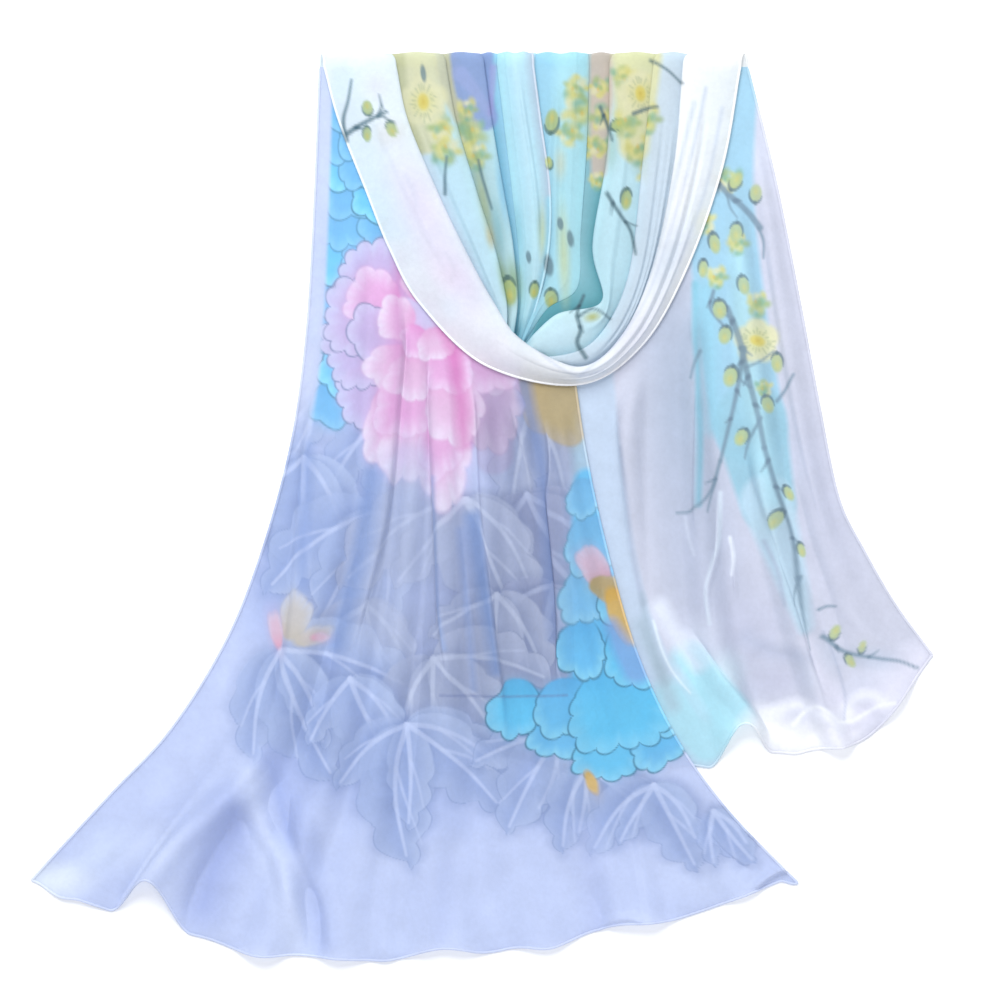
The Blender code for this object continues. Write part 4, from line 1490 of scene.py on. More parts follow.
def paint_short(cloth, colours):
    """A pale border, an aqua strip with budding twigs, and a wide plain side, on lavender, with painted
    shade and highlights along its creases and hem.
    """
    lay_washes(cloth, SHORT_WASHES)
    # print lines, and painted shade and highlights along the creases and hem
    lay_lines(cloth, SHORT_LINES_PRINT_AND_SHADING)
    for x, y, radius in SHORT_BLOSSOMS:
        blossom(cloth, (x, y), radius, turn=x, cover=0.9)
    for x, y, size in SHORT_POSIES:
        posy(cloth, (x, y), size)
    for stem in SHORT_STEMS:
        twig(cloth, stem, SLATE_TWIG)
    for spot in SHORT_BUDS:
        bud(cloth, spot, PALE_BUD)


def swag_ground(place, station):
    """The swag's washed ground, partly painted shade in its valleys: colours across the pleats, changing
    from the left to the right.
    """
    knots = [row[0] for row in SWAG_TONES]
    columns = []
    for side in (1, 2, 3):
        tones = np.array([linear(SWAG_GROUND_COLOURS[row[side]]) for row in SWAG_TONES])
        columns.append(read_between(place, knots, tones))
    left, base, right = columns
    to_left = (1.0 - ease((station - LEFT_LIMB_END) / LEFT_DYE_RUN))[:, None, None]
    to_right = ease((station - RIGHT_LIMB_START) / RIGHT_DYE_RUN)[:, None, None]
    return left * to_left + right * to_right + base * (1.0 - to_left - to_right)


def paint_swag(cloth, place):
    """Blossoms and twigs on the pleats, and a twig on the white band, with painted shade and light in a
    few places.

    A blossom or bud lies on one pleat and is cut off where that pleat folds.
    """
    rows = cloth.x.size // place.size

    def keep_to_pleat_at(x, y):
        nearest = np.argmin(np.hypot(cloth.x - x, cloth.y - y)) % place.size
        pleat = next(p for p in SWAG_PLEATS if place[nearest] <= p.end)
        cloth.keep_to(np.tile((place > pleat.start) & (place <= pleat.end), rows))

    on_pleats = np.tile(place > BAND_PLACE, rows)
    cloth.keep_to(on_pleats)
    # print washes, with painted shade on a narrow pleat and painted light in the base's hollow
    lay_washes(cloth, SWAG_WASHES)
    lay_lines(cloth, SWAG_PATCHES)
    for x, y, size in SWAG_POSIES:
        keep_to_pleat_at(x, y)
        posy(cloth, (x, y), size)
    for x, y, radius in SWAG_BLOSSOMS:
        keep_to_pleat_at(x, y)
        blossom(cloth, (x, y), radius, turn=96.0, cover=0.85)
    cloth.keep_to(~on_pleats)
    # washes on the band, one of them a painted bluish tint on its shaded low edge
    lay_washes(cloth, BAND_WASHES)
    # painted shade along the band's small creases
    lay_lines(cloth, BAND_SHADE_LINES)
    cloth.keep_to()
    for stem in SWAG_STEMS:
        twig(cloth, stem, TEAL_TWIG)
    for spot in SWAG_BUDS:
        keep_to_pleat_at(spot.x, spot.y)
        bud(cloth, spot, GREEN_BUD)
    cloth.keep_to()
    for x, y, across, along in SWAG_MARKS:
        wash(cloth, (x, y), (across, along), MARK_DYE, 0.85, turn=8.0, edge=0.5)


# ---- Sheets: the laid forms as grids of points ----

HALF_WALL = WALL / 2.0  # a sheet lies in the middle of its solid's wall
FOLD_ROWS = 16
LAP_PAST = 1.8  # how far a swag pleat's folded edge passes over the line it folds along
LAP_UNDER = 3.4  # how far the cloth goes back under that edge
LAP_EDGE = 0.30  # places from that line to the folded edge, on the pleat's side
LAP_BACK = 0.06  # and to the deepest point under it, on the other side
LAP_EDGE_REACH = 0.36  # places over which the cloth is drawn out to the folded edge
LAP_BACK_REACH = 0.26  # and over which it is drawn back under it
LAP_PAST_SHARE = 0.30  # of a narrow pleat's width, at most, past its line
LAP_UNDER_SHARE = 0.35  # and under the edge
CREST_SHARE = 0.80  # of a pleat's width, from its low side to its crest
EDGE_SHARE = 0.19  # of its width, over which it rolls down from its crest
OVERLAP_LIFT = 2.6  # the left limb's inner selvedge lies on the right limb
OVERLAP_PLACE = 8.6  # across the swag, where that selvedge begins to rise
OVERLAP_PLACES = 1.6  # over which it does so
OVERLAP_STATIONS = 1.2  # over which it sinks again at the base
FINE_STATIONS = 1441
PLEAT_MIDDLE = 3.0  # of the first pleat, across the swag


def long_form(across, down):
    """Laid points of the long tail without its small creases, and the height it rests at."""
    x, y, width = tail_plan(LONG_SECTIONS, LONG_SAG_POWER, LONG_HEM, across, down)
    free = outside_swag(x, y)
    rest = LAYER * over_short_tail(x, y) + HALF_WALL
    return x, y, fold_height(LONG_FOLDS, across, down, width) * free, rest, free


def short_form(across, down):
    """The same for the short tail, pressed flat where the long tail lies on it."""
    x, y, width = tail_plan(SHORT_SECTIONS, SHORT_SAG_POWER, SHORT_HEM, across, down)
    beside = x - edge_x(LONG_SECTIONS, y, "right") - PRESS_MARGIN
    free = ease(beside / PRESS_WIDTH) * outside_swag(x, y)
    rest = np.full(x.shape, HALF_WALL)
    return x, y, fold_height(SHORT_FOLDS, across, down, width) * free, rest, free


def creased(form, creases, across, down):
    """A tail's points with its creases, and the plan that its print is drawn on."""
    x, y, height, rest, free = form(across, down)
    shift_x, shift_y, lift = crease_shift(creases, x, y)
    z = rest + np.maximum(height + lift * free, 0.0)
    return x + shift_x * free, y + shift_y * free, z, x, y


def swag_lines_at(station):
    """The swag's fold lines, each at the given stations: lines x stations x (x, y)."""
    paths = np.array([line.path for line in SWAG_LINES], float)
    return spline(range(LAST_STATION + 1), paths.transpose(1, 0, 2), station).transpose(1, 0, 2)


def swag_plan(place, station, lapped=True):
    """Plan of the swag, a row for each station; pleats may lap over their neighbours."""
    lines = swag_lines_at(station)
    before = np.minimum((place / 2.0).astype(int), len(SWAG_LINES) - 2)
    share = (place / 2.0 - before)[:, None, None]
    plan = blend(lines[before], lines[before + 1], share)
    if lapped:
        for pleat in SWAG_PLEATS:
            if not pleat.lean:
                continue
            at = pleat.end if pleat.lean > 0 else pleat.start
            line = lines[int(at) // 2]
            away = (line - lines[int(at) // 2 - pleat.lean]) / 2.0
            width = np.linalg.norm(away, axis=-1, keepdims=True)
            way = away / np.maximum(width, 1e-6)
            past = LAP_EDGE * width + np.minimum(LAP_PAST, LAP_PAST_SHARE * width)
            under = np.minimum(LAP_UNDER, LAP_UNDER_SHARE * width)
            aside = (place - at) * pleat.lean
            over = swell(aside + LAP_EDGE, LAP_EDGE_REACH)[:, None, None]
            back = swell(aside - LAP_BACK, LAP_BACK_REACH)[:, None, None]
            plan = plan + way * (past * over - under * back)
    return plan[..., 0].T, plan[..., 1].T


def swag_rise(place, station):
    """Rise of the pleats: each climbs gently to its crest and rolls over at its folded edge."""
    total = 0.0
    for pleat in SWAG_PLEATS:
        share = (place - pleat.start) / (pleat.end - pleat.start)
        if pleat.lean < 0:
            share = 1.0 - share
        climb = np.sin(0.5 * np.pi * np.clip(share / CREST_SHARE, 0.0, 1.0))
        profile = climb * (1.0 - ease((share - CREST_SHARE) / EDGE_SHARE)) * (share <= 1.0)
        rises = (pleat.rise_left, pleat.rise_base, pleat.rise_right)
        total = total + spline((0.0, BASE_STATION, LAST_STATION), rises, station)[:, None] * profile
    for ridge in SWAG_RIDGES:
        share = np.clip((station - ridge.start) / (ridge.end - ridge.start), 0.0, 1.0)
        at = blend(ridge.start_place, ridge.end_place, share)[:, None]
        fade = ease(share / RIDGE_FADE) * ease((1.0 - share) / RIDGE_FADE)
        total = total + ridge.rise * fade[:, None] * swell(place - at, ridge.half_width)
    inner = ease((place - OVERLAP_PLACE) / OVERLAP_PLACES)
    left = 1.0 - ease((station - LEFT_LIMB_END) / OVERLAP_STATIONS)[:, None]
    return total + OVERLAP_LIFT * inner * left


def fold_rows(place, station, form, above_z):
    """Rows of the turn at the top edge, from the swag at one end down to the tail's top row."""
    above_x = swag_plan(place, np.array([station]))[0][0]
    even_x = swag_plan(place, np.array([station]), lapped=False)[0][0]
    share = (even_x - even_x[0]) / (even_x[-1] - even_x[0])
    if station > 0.0:  # the right limb has its outer selvedge on the right
        share = 1.0 - share
    below_x, _, _, below_z, _ = form(share, np.array([0.0]))
    turn = np.radians(np.linspace(90.0, -90.0, FOLD_ROWS + 1)[1:])[:, None]
    valley = 0.5 + 0.5 * np.cos(np.pi * place)
    depth = FOLD_DEPTH - FOLD_DIP * valley
    x = blend(below_x, above_x, 0.5 + 0.5 * np.sin(turn))
    y = TOP_LINE + (SEAM_GAP + depth) * np.cos(turn)
    z = (above_z + below_z) / 2.0 + (above_z - below_z) / 2.0 * np.sin(turn)
    return x, y, z


def even_stations(count):
    """Stations spaced evenly along the middle of the first pleat."""
    fine = np.linspace(0.0, LAST_STATION, FINE_STATIONS)
    x, y = swag_plan(np.array([PLEAT_MIDDLE]), fine, lapped=False)
    run = running_total(np.hypot(np.diff(x[:, 0]), np.diff(y[:, 0])))
    return np.interp(np.linspace(0.0, run[-1], count), run, fine)


def surface_normals(x, y, z):
    """Unit normals of a grid, pointing up where it lies flat."""
    points = np.stack((x, y, z), axis=-1)
    normals = np.cross(np.gradient(points, axis=0), np.gradient(points, axis=1))
    return normals / np.maximum(np.linalg.norm(normals, axis=-1, keepdims=True), 1e-9)


def to_frame(points):
    return (points - CENTRE) * MM


def add_object(name, data):
    made = bpy.data.objects.new(name, data)
    bpy.context.scene.collection.objects.link(made)
    return made


def mesh_object(name, points, quads, normals, colours, metres, shares, material):
    """A mesh of four-sided faces with its printed colours, normals and two UV maps.

    metres and shares are those maps: each point's u and v in the cloth, as lengths and as shares.
    """
    points = points.reshape(-1, 3)
    mesh = bpy.data.meshes.new(name)
    mesh.vertices.add(len(points))
    mesh.vertices.foreach_set("co", to_frame(points).ravel())
    mesh.loops.add(quads.size)
    mesh.loops.foreach_set("vertex_index", quads.ravel())
    mesh.polygons.add(len(quads))
    mesh.polygons.foreach_set("loop_start", np.arange(0, quads.size, 4))
    mesh.update(calc_edges=True)
    for layer, (u, v) in (("OFBake", shares), ("ClothMetres", metres)):
        uv = np.stack((u, v), axis=-1).reshape(-1, 2)
        mesh.uv_layers.new(name=layer).uv.foreach_set("vector", uv[quads.ravel()].ravel())
    ink = mesh.color_attributes.new("print", "FLOAT_COLOR", "POINT")
    ink.data.foreach_set("color", np.column_stack((colours, np.ones(len(colours)))).ravel())
    mesh.materials.append(material)
    mesh.shade_smooth()
    mesh.normals_split_custom_set_from_vertices(normals.reshape(-1, 3))
    return add_object(name, mesh)


def grid_quads(rows, columns):
    """Faces of a grid, turned so that they face up."""
    at = np.arange(rows * columns).reshape(rows, columns)
    return np.stack((at[:-1, :-1], at[1:, :-1], at[1:, 1:], at[:-1, 1:]), axis=-1).reshape(-1, 4)


def sheet_object(name, x, y, z, normals, colours, material):
    """A sheet of cloth from a grid of points in millimetres."""
    rows, columns = x.shape
    points = np.stack((x, y, z), axis=-1)
    across = np.linalg.norm(np.diff(points, axis=1), axis=-1).sum(axis=1)
    down = np.linalg.norm(np.diff(points[:, columns // 2], axis=0), axis=-1)
    u = np.linspace(0.0, 1.0, columns)[None, :] * np.ones((rows, 1))
    v = 1.0 - np.linspace(0.0, 1.0, rows)[:, None] * np.ones((1, columns))
    u_metres = (u - 0.5) * across[:, None] * MM
    v_metres = running_total(down)[:, None] * np.ones((1, columns)) * MM
    metres = (u_metres, v_metres)
    quads = grid_quads(rows, columns)
    return mesh_object(name, points, quads, normals, colours, metres, (u, v), material)


HEM_SIDES = 8
HEM_PITCH = 0.75  # between two rings of the rolled hem, in millimetres
STITCH_RELIEF = 0.09  # how far the stitches pinch the roll, as a share of its radius
SEAM_ROUNDING = 3  # rings at each end over which a hem tapers
HEM_END_SHARE = 0.35  # of its radius, to which it tapers
SAME_POINT = 0.05  # millimetres: points of a rim that are closer than this are one
HEM_PALER = 0.12
HEM_FILL = "#FBFCFF"


def hem_object(name, edge, outward, colours, sizes, material):
    """A narrow rolled hem along a sheet's edge: a flattened roll, pinched by its stitches."""
    lengths = running_total(np.linalg.norm(np.diff(edge, axis=0), axis=1))
    rings = int(lengths[-1] / HEM_PITCH) + 1
    at = np.linspace(0.0, lengths[-1], rings)
    centre, out, ink = (read_between(at, lengths, rows) for rows in (edge, outward, colours))
    ahead = np.gradient(centre, axis=0)
    ahead /= np.linalg.norm(ahead, axis=1, keepdims=True)
    out = out - (out * ahead).sum(axis=1, keepdims=True) * ahead
    out /= np.linalg.norm(out, axis=1, keepdims=True)
    up = np.cross(ahead, out)
    stitch = 2.0 * np.pi * at * MM / sizes.stitch_pitch
    pinch = 1.0 - STITCH_RELIEF * (0.5 + 0.5 * np.cos(stitch)) ** 2
    ends = np.minimum(np.arange(rings), np.arange(rings)[::-1])
    pinch = pinch * blend(HEM_END_SHARE, 1.0, ease(ends / SEAM_ROUNDING))
    turn = np.linspace(0.0, 2.0 * np.pi, HEM_SIDES, endpoint=False)
    half_width = sizes.hem_width / 2.0 / MM
    half_height = sizes.hem_height / 2.0 / MM
    wide = np.cos(turn)[None, :, None] * half_width * pinch[:, None, None] * out[:, None, :]
    tall = np.sin(turn)[None, :, None] * half_height * pinch[:, None, None] * up[:, None, :]
    points = centre[:, None, :] + wide + tall
    normals = wide / half_width**2 + tall / half_height**2
    normals /= np.linalg.norm(normals, axis=-1, keepdims=True)
    here = np.arange(rings * HEM_SIDES).reshape(rings, HEM_SIDES)
    there = np.roll(here, -1, axis=1)
    quads = np.stack((here[:-1], there[:-1], there[1:], here[1:]), axis=-1).reshape(-1, 4)
    u = np.ones((rings, 1)) * np.linspace(0.0, 1.0, HEM_SIDES)[None, :]
    v = (at / at[-1])[:, None] * np.ones((1, HEM_SIDES))
    metres = (u * sizes.hem_width, at[:, None] * np.ones((1, HEM_SIDES)) * MM)
    ink = np.repeat(ink, HEM_SIDES, axis=0)
    return mesh_object(name, points, quads, normals, ink, metres, (u, v), material)


def grid_rim(x, y, z, colours, sides):
    """Points, outward directions and colours along the named sides of a grid, end to end.

    sides is made of "left" (down the first column), "bottom" (along the last row) and "right"
    (up the last column).
    """
    points = np.stack((x, y, z), axis=-1)
    ink = colours.reshape(*x.shape, 3)
    runs = {
        "left": (points[:, 0], points[:, 0] - points[:, 1], ink[:, 0]),
        "bottom": (points[-1], points[-1] - points[-2], ink[-1]),
        "right": (points[::-1, -1], points[::-1, -1] - points[::-1, -2], ink[::-1, -1]),
    }
    joined = [np.concatenate(parts) for parts in zip(*(runs[side] for side in sides))]
    apart = np.linalg.norm(np.diff(joined[0], axis=0), axis=1) > SAME_POINT
    keep = np.concatenate(([True], apart))
    edge, outward, ink = (values[keep] for values in joined)
    outward = outward / np.linalg.norm(outward, axis=1, keepdims=True)
    return edge, outward, ink


def paler(colours, share):
    """Colours with the pale fill of a hem, where the cloth lies several times over itself."""
    return blend(colours, pigment(HEM_FILL), share)


# ---- Materials ----


def add_node(tree, kind, inputs=None, **settings):
    """Adds a node with its settings; each input is filled with a value or linked to a socket."""
    node = tree.nodes.new(kind)
    for key, value in settings.items():
        setattr(node, key, value)
    for key, value in (inputs or {}).items():
        if isinstance(value, bpy.types.NodeSocket):
            tree.links.new(value, node.inputs[key])
        else:
            node.inputs[key].default_value = value
    return node


def new_material(name):
    material = bpy.data.materials.new(name)
    material.use_nodes = True
    material.node_tree.nodes.clear()
    return material, material.node_tree


WAVES_PER_SCALE = 20.0 / (2.0 * math.pi)  # Blender's wave bands in one unit, at scale 1


def chiffon(name, sizes, openness, passes):
    """Polyester chiffon, plain-woven of hard crepe-twisted yarn, heat-transfer printed.

    The twist gives a fine pebbled grain and a soft bloom instead of gloss; the open weave shows a
    little of what lies under it and lets light through from below.
    """
    material, tree = new_material(name)
    ink = add_node(tree, "ShaderNodeAttribute", attribute_type="GEOMETRY", attribute_name="print")
    metres = add_node(tree, "ShaderNodeUVMap", uv_map="ClothMetres")
    place = add_node(tree, "ShaderNodeTexCoord").outputs["Object"]

    # Dye soaks in unevenly: soft clouds a couple of centimetres across, and the yarns' own flecks.
    clouds, flecks = (
        add_node(
            tree,
            "ShaderNodeTexNoise",
            {"Vector": place, "Scale": 1.0 / grain, "Detail": detail, "Roughness": uneven},
        ).outputs["Fac"]
        for grain, detail, uneven in ((sizes.wash_grain, 4.0, 0.6), (sizes.crepe_grain, 2.0, 0.5))
    )
    cloud_tone, fleck_tone, roughness = (
        add_node(
            tree,
            "ShaderNodeMapRange",
            {"Value": noise, "From Min": 0.3, "From Max": 0.7, "To Min": least, "To Max": most},
        ).outputs["Result"]
        for noise, least, most in ((clouds, 0.95, 1.03), (flecks, 0.975, 1.02), (flecks, 0.64, 0.78))
    )
    tone = add_node(tree, "ShaderNodeMath", {0: cloud_tone, 1: fleck_tone}, operation="MULTIPLY")
    dyed = add_node(
        tree,
        "ShaderNodeVectorMath",
        {"Vector": ink.outputs["Color"], "Scale": tone.outputs["Value"]},
        operation="SCALE",
    ).outputs["Vector"]

    # Real chiffon has a thread every 0.3 mm; the weave is drawn coarser, so that it shows at all.
    threads = 1.0 / (sizes.weave_pitch * WAVES_PER_SCALE)
    across, along = (
        add_node(
            tree,
            "ShaderNodeTexWave",
            {"Vector": metres.outputs["UV"], "Scale": threads, "Distortion": 0.6},
            wave_type="BANDS",
            bands_direction=direction,
        ).outputs["Fac"]
        for direction in ("X", "Y")
    )
    weave = add_node(tree, "ShaderNodeMath", {0: across, 1: along}, operation="MULTIPLY")
    woven = add_node(
        tree,
        "ShaderNodeBump",
        {"Height": weave.outputs["Value"], "Strength": 0.10, "Distance": 0.00008},
    )
    pebbled = add_node(
        tree,
        "ShaderNodeBump",
        {"Height": flecks, "Strength": 0.30, "Distance": 0.00030, "Normal": woven.outputs["Normal"]},
    ).outputs["Normal"]

    surface = add_node(
        tree,
        "ShaderNodeBsdfPrincipled",
        {
            "Base Color": dyed,
            "Roughness": roughness,
            "IOR": 1.54,
            "Specular IOR Level": 0.28,
            "Sheen Weight": 0.22,
            "Sheen Roughness": 0.45,
            "Normal": pebbled,
        },
    )
    through = add_node(tree, "ShaderNodeBsdfTranslucent", {"Color": dyed, "Normal": pebbled})
    open_weave = add_node(tree, "ShaderNodeBsdfTransparent", {"Color": (1.0, 1.0, 1.0, 1.0)})
    lit = add_node(
        tree,
        "ShaderNodeMixShader",
        {"Fac": passes, 1: surface.outputs["BSDF"], 2: through.outputs["BSDF"]},
    )
    sheer = add_node(
        tree,
        "ShaderNodeMixShader",
        {"Fac": openness, 1: lit.outputs["Shader"], 2: open_weave.outputs["BSDF"]},
    )
    add_node(tree, "ShaderNodeOutputMaterial", {"Surface": sheer.outputs["Shader"]})
    return material


def floor_material(colour):
    """Matt paper sweep: a faint tooth, no gloss, so only soft shadows show on it."""
    material, tree = new_material("Matt white paper sweep")
    place = add_node(tree, "ShaderNodeTexCoord").outputs["Object"]
    tooth = add_node(tree, "ShaderNodeTexNoise", {"Vector": place, "Scale": 900.0, "Detail": 2.0})
    bump = add_node(
        tree,
        "ShaderNodeBump",
        {"Height": tooth.outputs["Fac"], "Strength": 0.05, "Distance": 0.0001},
    )
    surface = add_node(
        tree,
        "ShaderNodeBsdfPrincipled",
        {
            "Base Color": (*colour, 1.0),
            "Roughness": 0.95,
            "Specular IOR Level": 0.1,
            "Normal": bump.outputs["Normal"],
        },
    )
    add_node(tree, "ShaderNodeOutputMaterial", {"Surface": surface.outputs["BSDF"]})
    return material


# ---- Sizes and colours that a user would change ----


def colour_property(name, description, code):
    said = {"name": name, "description": description, "default": linear(code)}
    return bpy.props.FloatVectorProperty(**said, size=3, min=0.0, max=1.0, subtype="COLOR")


def size_property(name, description, default, least=0.0):
    said = {"name": name, "description": description, "default": default, "min": least}
    return bpy.props.FloatProperty(**said, unit="LENGTH", subtype="DISTANCE", precision=4)


def share_property(name, description, default):
    said = {"name": name, "description": description, "default": default}
    return bpy.props.FloatProperty(**said, min=0.0, max=1.0, subtype="FACTOR")


class ScarfSizes(bpy.types.PropertyGroup):
    """Sizes of the cloth's finish and of the view."""

    hem_width: size_property("Hem Width", "Width of the narrow rolled hem", 0.0016)
    hem_height: size_property("Hem Height", "Thickness of the narrow rolled hem", 0.0013)
    stitch_pitch: size_property("Stitch Pitch", "Distance between two stitches", 0.0030, 0.0005)
    weave_pitch: size_property("Weave Pitch", "Distance between two drawn threads", 0.0013, 0.0003)
    crepe_grain: size_property("Crepe Grain", "Size of the yarn's pebbled grain", 0.0026, 0.0005)
    wash_grain: size_property("Wash Grain", "Size of the soft clouds in the dye", 0.018, 0.002)
    view_width: size_property("View Width", "Width of the surface that the camera sees", 0.600, 0.05)
    view_height: size_property("View Height", "Height of the camera over the surface", 2.000, 0.2)
    openness: share_property("Openness", "Share of the cloth that is open between its threads", 0.15)
    passes_light: share_property("Passes Light", "Share of the light that the threads let through", 0.32)


class ScarfColours(bpy.types.PropertyGroup):
    """Main dyes of the print."""

    periwinkle: colour_property("Periwinkle", "Ground of the long tail", "#C6D2F0")
    lavender: colour_property("Lavender", "Ground of the short tail", "#D2D5E3")
    border_lilac: colour_property("Border Lilac", "Unprinted left border of the long tail", "#CAD3EC")
    paper: colour_property("Paper", "The surface under the scarf", "#F9FAFC")


# ---- Operators: one for each stretch of the strip, and one for the stage ----

SEAM_DOWN = 0.55  # where the long tail's fine upper and lower sheets meet
SEAM_ACROSS = 0.5  # where its two lower sheets meet
LONG_UPPER_GRID = (262, 328)  # columns and rows
LONG_LOWER_GRID = (338, 262)
SHORT_HIDDEN_COLUMNS = 30
SHORT_SHOWN_COLUMNS = 212
SHORT_HIDDEN_SHARE = 0.27  # of the short tail's width, which the long tail covers everywhere
SHORT_GRID_ROWS = 400
SWAG_COLUMNS = 252
SWAG_ROWS = 355
SWAG_CROWDING = 1.12  # over 1, the wide outer pleats get more columns
STEEP_SHADE_DEPTH = 0.14  # how much painted shade darkens the colour where the cloth stands on edge
STEEP_SHADE_TINT = (1.15, 1.0, 0.85)  # the painted shade takes more red than blue
SWAG_OPENNESS = 0.8  # of the tails' openness, because the swag lies in more layers
HEM_PASSES = 0.5  # of the sheets' share of passing light, because a hem is rolled
VIEW_CENTRE = (0.0108, 0.0035)  # the middle of the view on the laid surface, in metres
SENSOR_WIDTH = 36.0  # millimetres, a full-frame camera's
SWEEP_HALF = 3.0  # metres from the middle of the paper sweep to its sides
STUDIO_TONE = "#F6F8FF"
STUDIO_STRENGTH = 0.70
LAMPS = (  # square soft lights that face the middle: name, place, size and watts
    ("Large soft light above the top edge", (-0.35, 1.15, 1.25), 1.0, 26.0),
    ("Fill light on the lower side", (0.6, -1.2, 1.5), 1.4, 10.0),
)


def shade_steep_sides(colours, normals):
    """Painted shade on the steep sides of folds, darker the more the cloth tilts, for sheer cloth that
    looks denser where more yarn lies in line.
    """
    steep = 1.0 - np.clip(normals.reshape(-1, 3)[:, 2], 0.0, 1.0)
    return colours * (1.0 - STEEP_SHADE_DEPTH * steep[:, None] * np.array(STEEP_SHADE_TINT))


def one_more(values):
    """Evenly spaced values with one more at each end."""
    step = values[1] - values[0]
    return np.concatenate(([values[0] - step], values, [values[-1] + step]))


def add_hem(name, rim, sizes, material):
    """A rolled hem along a rim, and what it rides on."""
    edge, outward, ink = rim
    hem = hem_object(name, edge, outward, paler(ink, HEM_PALER), sizes, material)
    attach(hem, "root")
    return hem


def declare(sheet, nodes):
    """Says what a sheet rides on and hides the solids that it stands for."""
    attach(sheet, "root")
    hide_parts(*nodes)


def cloths(sizes, ground, hem_ground, openness):
    """The printed chiffon of one stretch and that of its hem, which lets no more through."""
    through = sizes.passes_light
    return (
        chiffon(ground + " crepe chiffon, printed", sizes, openness, through),
        chiffon(hem_ground + " crepe chiffon, rolled hem", sizes, 0.0, HEM_PASSES * through),
    )


class SCARF_OT_long_tail(bpy.types.Operator):
    """Lays the long tail, printed in leaves and flowers, with its rolled hem"""

    bl_idname = "scarf.long_tail"
    bl_label = "Long Tail"

    def execute(self, context):
        sizes = context.scene.scarf_sizes
        colours = context.scene.scarf_colours
        cloth, hem_cloth = cloths(sizes, "Periwinkle", "Periwinkle", sizes.openness)
        grids = []
        for name, grid, left, right, start, end in (
            ("long_tail_upper", LONG_UPPER_GRID, 0.0, 1.0, 0.0, SEAM_DOWN),
            ("long_tail_lower_left", LONG_LOWER_GRID, 0.0, SEAM_ACROSS, SEAM_DOWN, 1.0),
            ("long_tail_lower_right", LONG_LOWER_GRID, SEAM_ACROSS, 1.0, SEAM_DOWN, 1.0),
        ):
            # One more row and column all round give the normals at a seam on both its sides.
            across = one_more(np.linspace(left, right, grid[0]))
            down = one_more(np.linspace(start, end, grid[1]))
            laid = creased(long_form, LONG_CREASES, across, down)
            normals = surface_normals(*laid[:3])[1:-1, 1:-1]
            x, y, z, flat_x, flat_y = (values[1:-1, 1:-1] for values in laid)
            dyed = Print(flat_x, flat_y, colours.periwinkle)
            paint_long(dyed, np.ones((grid[1], 1)) * across[1:-1], colours)
            # painted shade on the steep sides of the folds
            ink = shade_steep_sides(dyed.colour, normals)
            sheet = sheet_object(name, x, y, z, normals, ink, cloth)
            grids.append((sheet, (x, y, z), ink))
        upper, lower_left, lower_right = grids
        rims = [
            grid_rim(*upper[1], upper[2], ("left",)),
            grid_rim(*lower_left[1], lower_left[2], ("left", "bottom")),
            grid_rim(*lower_right[1], lower_right[2], ("bottom", "right")),
            grid_rim(*upper[1], upper[2], ("right",)),
        ]
        rim = [np.concatenate(parts) for parts in zip(*rims)]
        hem = add_hem("long_tail_hem", rim, sizes, hem_cloth)
        for sheet, grid, _ in grids:
            declare(sheet, ["tail_long"])
        return {"FINISHED"}


class SCARF_OT_short_tail(bpy.types.Operator):
    """Lays the short tail, printed in budding twigs, with its rolled hem"""

    bl_idname = "scarf.short_tail"
    bl_label = "Short Tail"

    def execute(self, context):
        sizes = context.scene.scarf_sizes
        colours = context.scene.scarf_colours
        cloth, hem_cloth = cloths(sizes, "Lavender", "Lavender", sizes.openness)
        hidden = np.linspace(0.0, SHORT_HIDDEN_SHARE, SHORT_HIDDEN_COLUMNS)[:-1]
        across = np.concatenate((hidden, np.linspace(SHORT_HIDDEN_SHARE, 1.0, SHORT_SHOWN_COLUMNS)))
        down = np.linspace(0.0, 1.0, SHORT_GRID_ROWS)
        x, y, z, flat_x, flat_y = creased(short_form, SHORT_CREASES, across, down)
        normals = surface_normals(x, y, z)
        dyed = Print(flat_x, flat_y, colours.lavender)
        paint_short(dyed, colours)
        # painted shade on the steep sides of the folds
        ink = shade_steep_sides(dyed.colour, normals)
        sheet = sheet_object("short_tail", x, y, z, normals, ink, cloth)
        rim = grid_rim(x, y, z, ink, ("left", "bottom", "right"))
        hem = add_hem("short_tail_hem", rim, sizes, hem_cloth)
        declare(sheet, ["tail_short"])
        return {"FINISHED"}


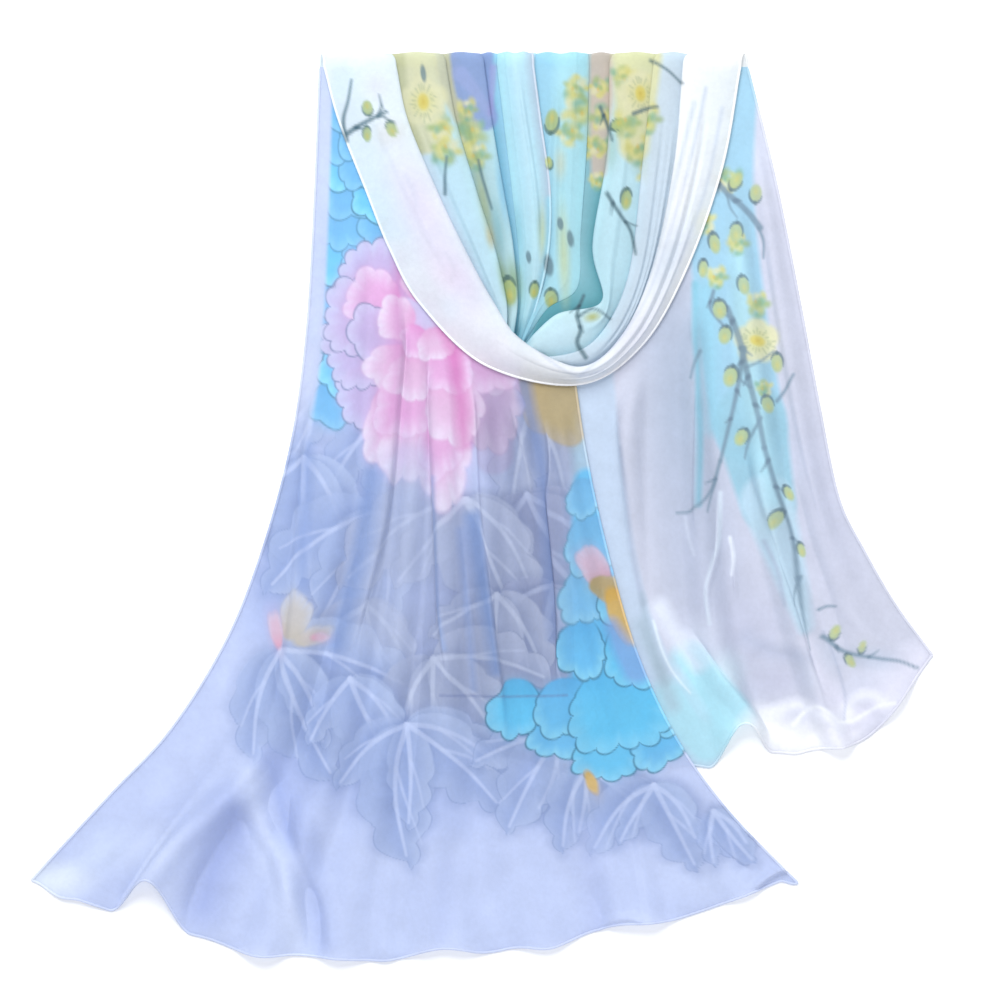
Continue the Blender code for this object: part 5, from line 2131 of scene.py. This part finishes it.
class SCARF_OT_swag(bpy.types.Operator):
    """Lays the pleated cowl loop and its turns at the top edge, with its rolled hems"""

    bl_idname = "scarf.swag"
    bl_label = "Swag"

    def execute(self, context):
        sizes = context.scene.scarf_sizes
        openness = SWAG_OPENNESS * sizes.openness
        cloth, hem_cloth = cloths(sizes, "White and turquoise", "White", openness)
        place = LAST_PLACE * np.linspace(0.0, 1.0, SWAG_COLUMNS) ** SWAG_CROWDING
        station = even_stations(SWAG_ROWS)
        x, y = swag_plan(place, station)
        flat_x, flat_y = swag_plan(place, station, lapped=False)
        rest = LAYER * (1.0 + over_short_tail(flat_x, flat_y) * over_long_tail_edge(flat_x, flat_y))
        z = swag_rise(place, station) + rest + HALF_WALL
        left = fold_rows(place, 0.0, long_form, z[0])
        right = fold_rows(place, LAST_STATION, short_form, z[-1])
        x, y, z = (
            np.concatenate((before[::-1], middle, after))
            for before, middle, after in zip(left, (x, y, z), right)
        )
        stations = np.concatenate((np.zeros(FOLD_ROWS), station, np.full(FOLD_ROWS, LAST_STATION)))
        normals = surface_normals(x, y, z)
        dyed = Print(x, y, (1.0, 1.0, 1.0))
        dyed.colour = swag_ground(place, stations).reshape(-1, 3)
        paint_swag(dyed, place)
        # painted shade on the steep sides of the folds
        ink = shade_steep_sides(dyed.colour, normals)
        sheet = sheet_object("swag", x, y, z, normals, ink, cloth)
        hems = [
            add_hem(name, grid_rim(x, y, z, ink, (side,)), sizes, hem_cloth)
            for name, side in (("swag_outer_hem", "left"), ("swag_inner_hem", "right"))
        ]
        nodes = ["swag_left", "swag_base", "swag_right", "fold_left", "fold_right"]
        declare(sheet, nodes)
        return {"FINISHED"}


class SCARF_OT_stage(bpy.types.Operator):
    """Adds the paper sweep, the soft light and the camera straight above"""

    bl_idname = "scarf.stage"
    bl_label = "Stage"

    def execute(self, context):
        sizes = context.scene.scarf_sizes
        colours = context.scene.scarf_colours
        scene = context.scene
        scene.view_settings.view_transform = "Standard"

        half = SWEEP_HALF
        corners = [(-half, -half, 0.0), (half, -half, 0.0), (half, half, 0.0), (-half, half, 0.0)]
        mesh = bpy.data.meshes.new("paper_sweep")
        mesh.from_pydata(corners, [], [(0, 1, 2, 3)])
        mesh.materials.append(floor_material(colours.paper))
        add_object("paper_sweep", mesh)

        world = bpy.data.worlds.new("Pale studio")
        world.use_nodes = True
        backdrop = world.node_tree.nodes["Background"]
        backdrop.inputs["Color"].default_value = (*linear(STUDIO_TONE), 1.0)
        backdrop.inputs["Strength"].default_value = STUDIO_STRENGTH
        scene.world = world

        for name, place, size, watts in LAMPS:
            lamp = bpy.data.lights.new(name, "AREA")
            lamp.shape = "SQUARE"
            lamp.size = size
            lamp.energy = watts
            light = add_object(name, lamp)
            light.location = place
            to_middle = Vector((0.0, 0.0, 0.0)) - Vector(place)
            light.rotation_euler = to_middle.to_track_quat("-Z", "Y").to_euler()

        lens = bpy.data.cameras.new("Camera straight above")
        lens.type = "PERSP"
        lens.sensor_width = SENSOR_WIDTH
        lens.lens = lens.sensor_width * sizes.view_height / sizes.view_width
        camera = add_object("Camera straight above", lens)
        camera.location = (*VIEW_CENTRE, sizes.view_height)
        scene.camera = camera
        return {"FINISHED"}


STEPS = (SCARF_OT_stage, SCARF_OT_short_tail, SCARF_OT_long_tail, SCARF_OT_swag)


class SCARF_PT_panel(bpy.types.Panel):
    """Lists the scarf's sizes, colours and pieces"""

    bl_label = "Laid Chiffon Scarf"
    bl_idname = "SCARF_PT_panel"
    bl_space_type = "VIEW_3D"
    bl_region_type = "UI"
    bl_category = "Scarf"

    def draw(self, context):
        layout = self.layout
        for group in (context.scene.scarf_sizes, context.scene.scarf_colours):
            column = layout.column(align=True)
            for key in group.__annotations__:
                column.prop(group, key)
        for step in STEPS:
            layout.operator(step.bl_idname)


CLASSES = (ScarfSizes, ScarfColours, *STEPS, SCARF_PT_panel)


def register():
    for cls in CLASSES:
        bpy.utils.register_class(cls)
    bpy.types.Scene.scarf_sizes = bpy.props.PointerProperty(type=ScarfSizes)
    bpy.types.Scene.scarf_colours = bpy.props.PointerProperty(type=ScarfColours)


def unregister():
    del bpy.types.Scene.scarf_colours
    del bpy.types.Scene.scarf_sizes
    for cls in reversed(CLASSES):
        bpy.utils.unregister_class(cls)


def main():
    register()
    bpy.ops.scarf.stage()
    bpy.ops.scarf.short_tail()
    bpy.ops.scarf.long_tail()
    bpy.ops.scarf.swag()


if __name__ == "__main__":
    main()
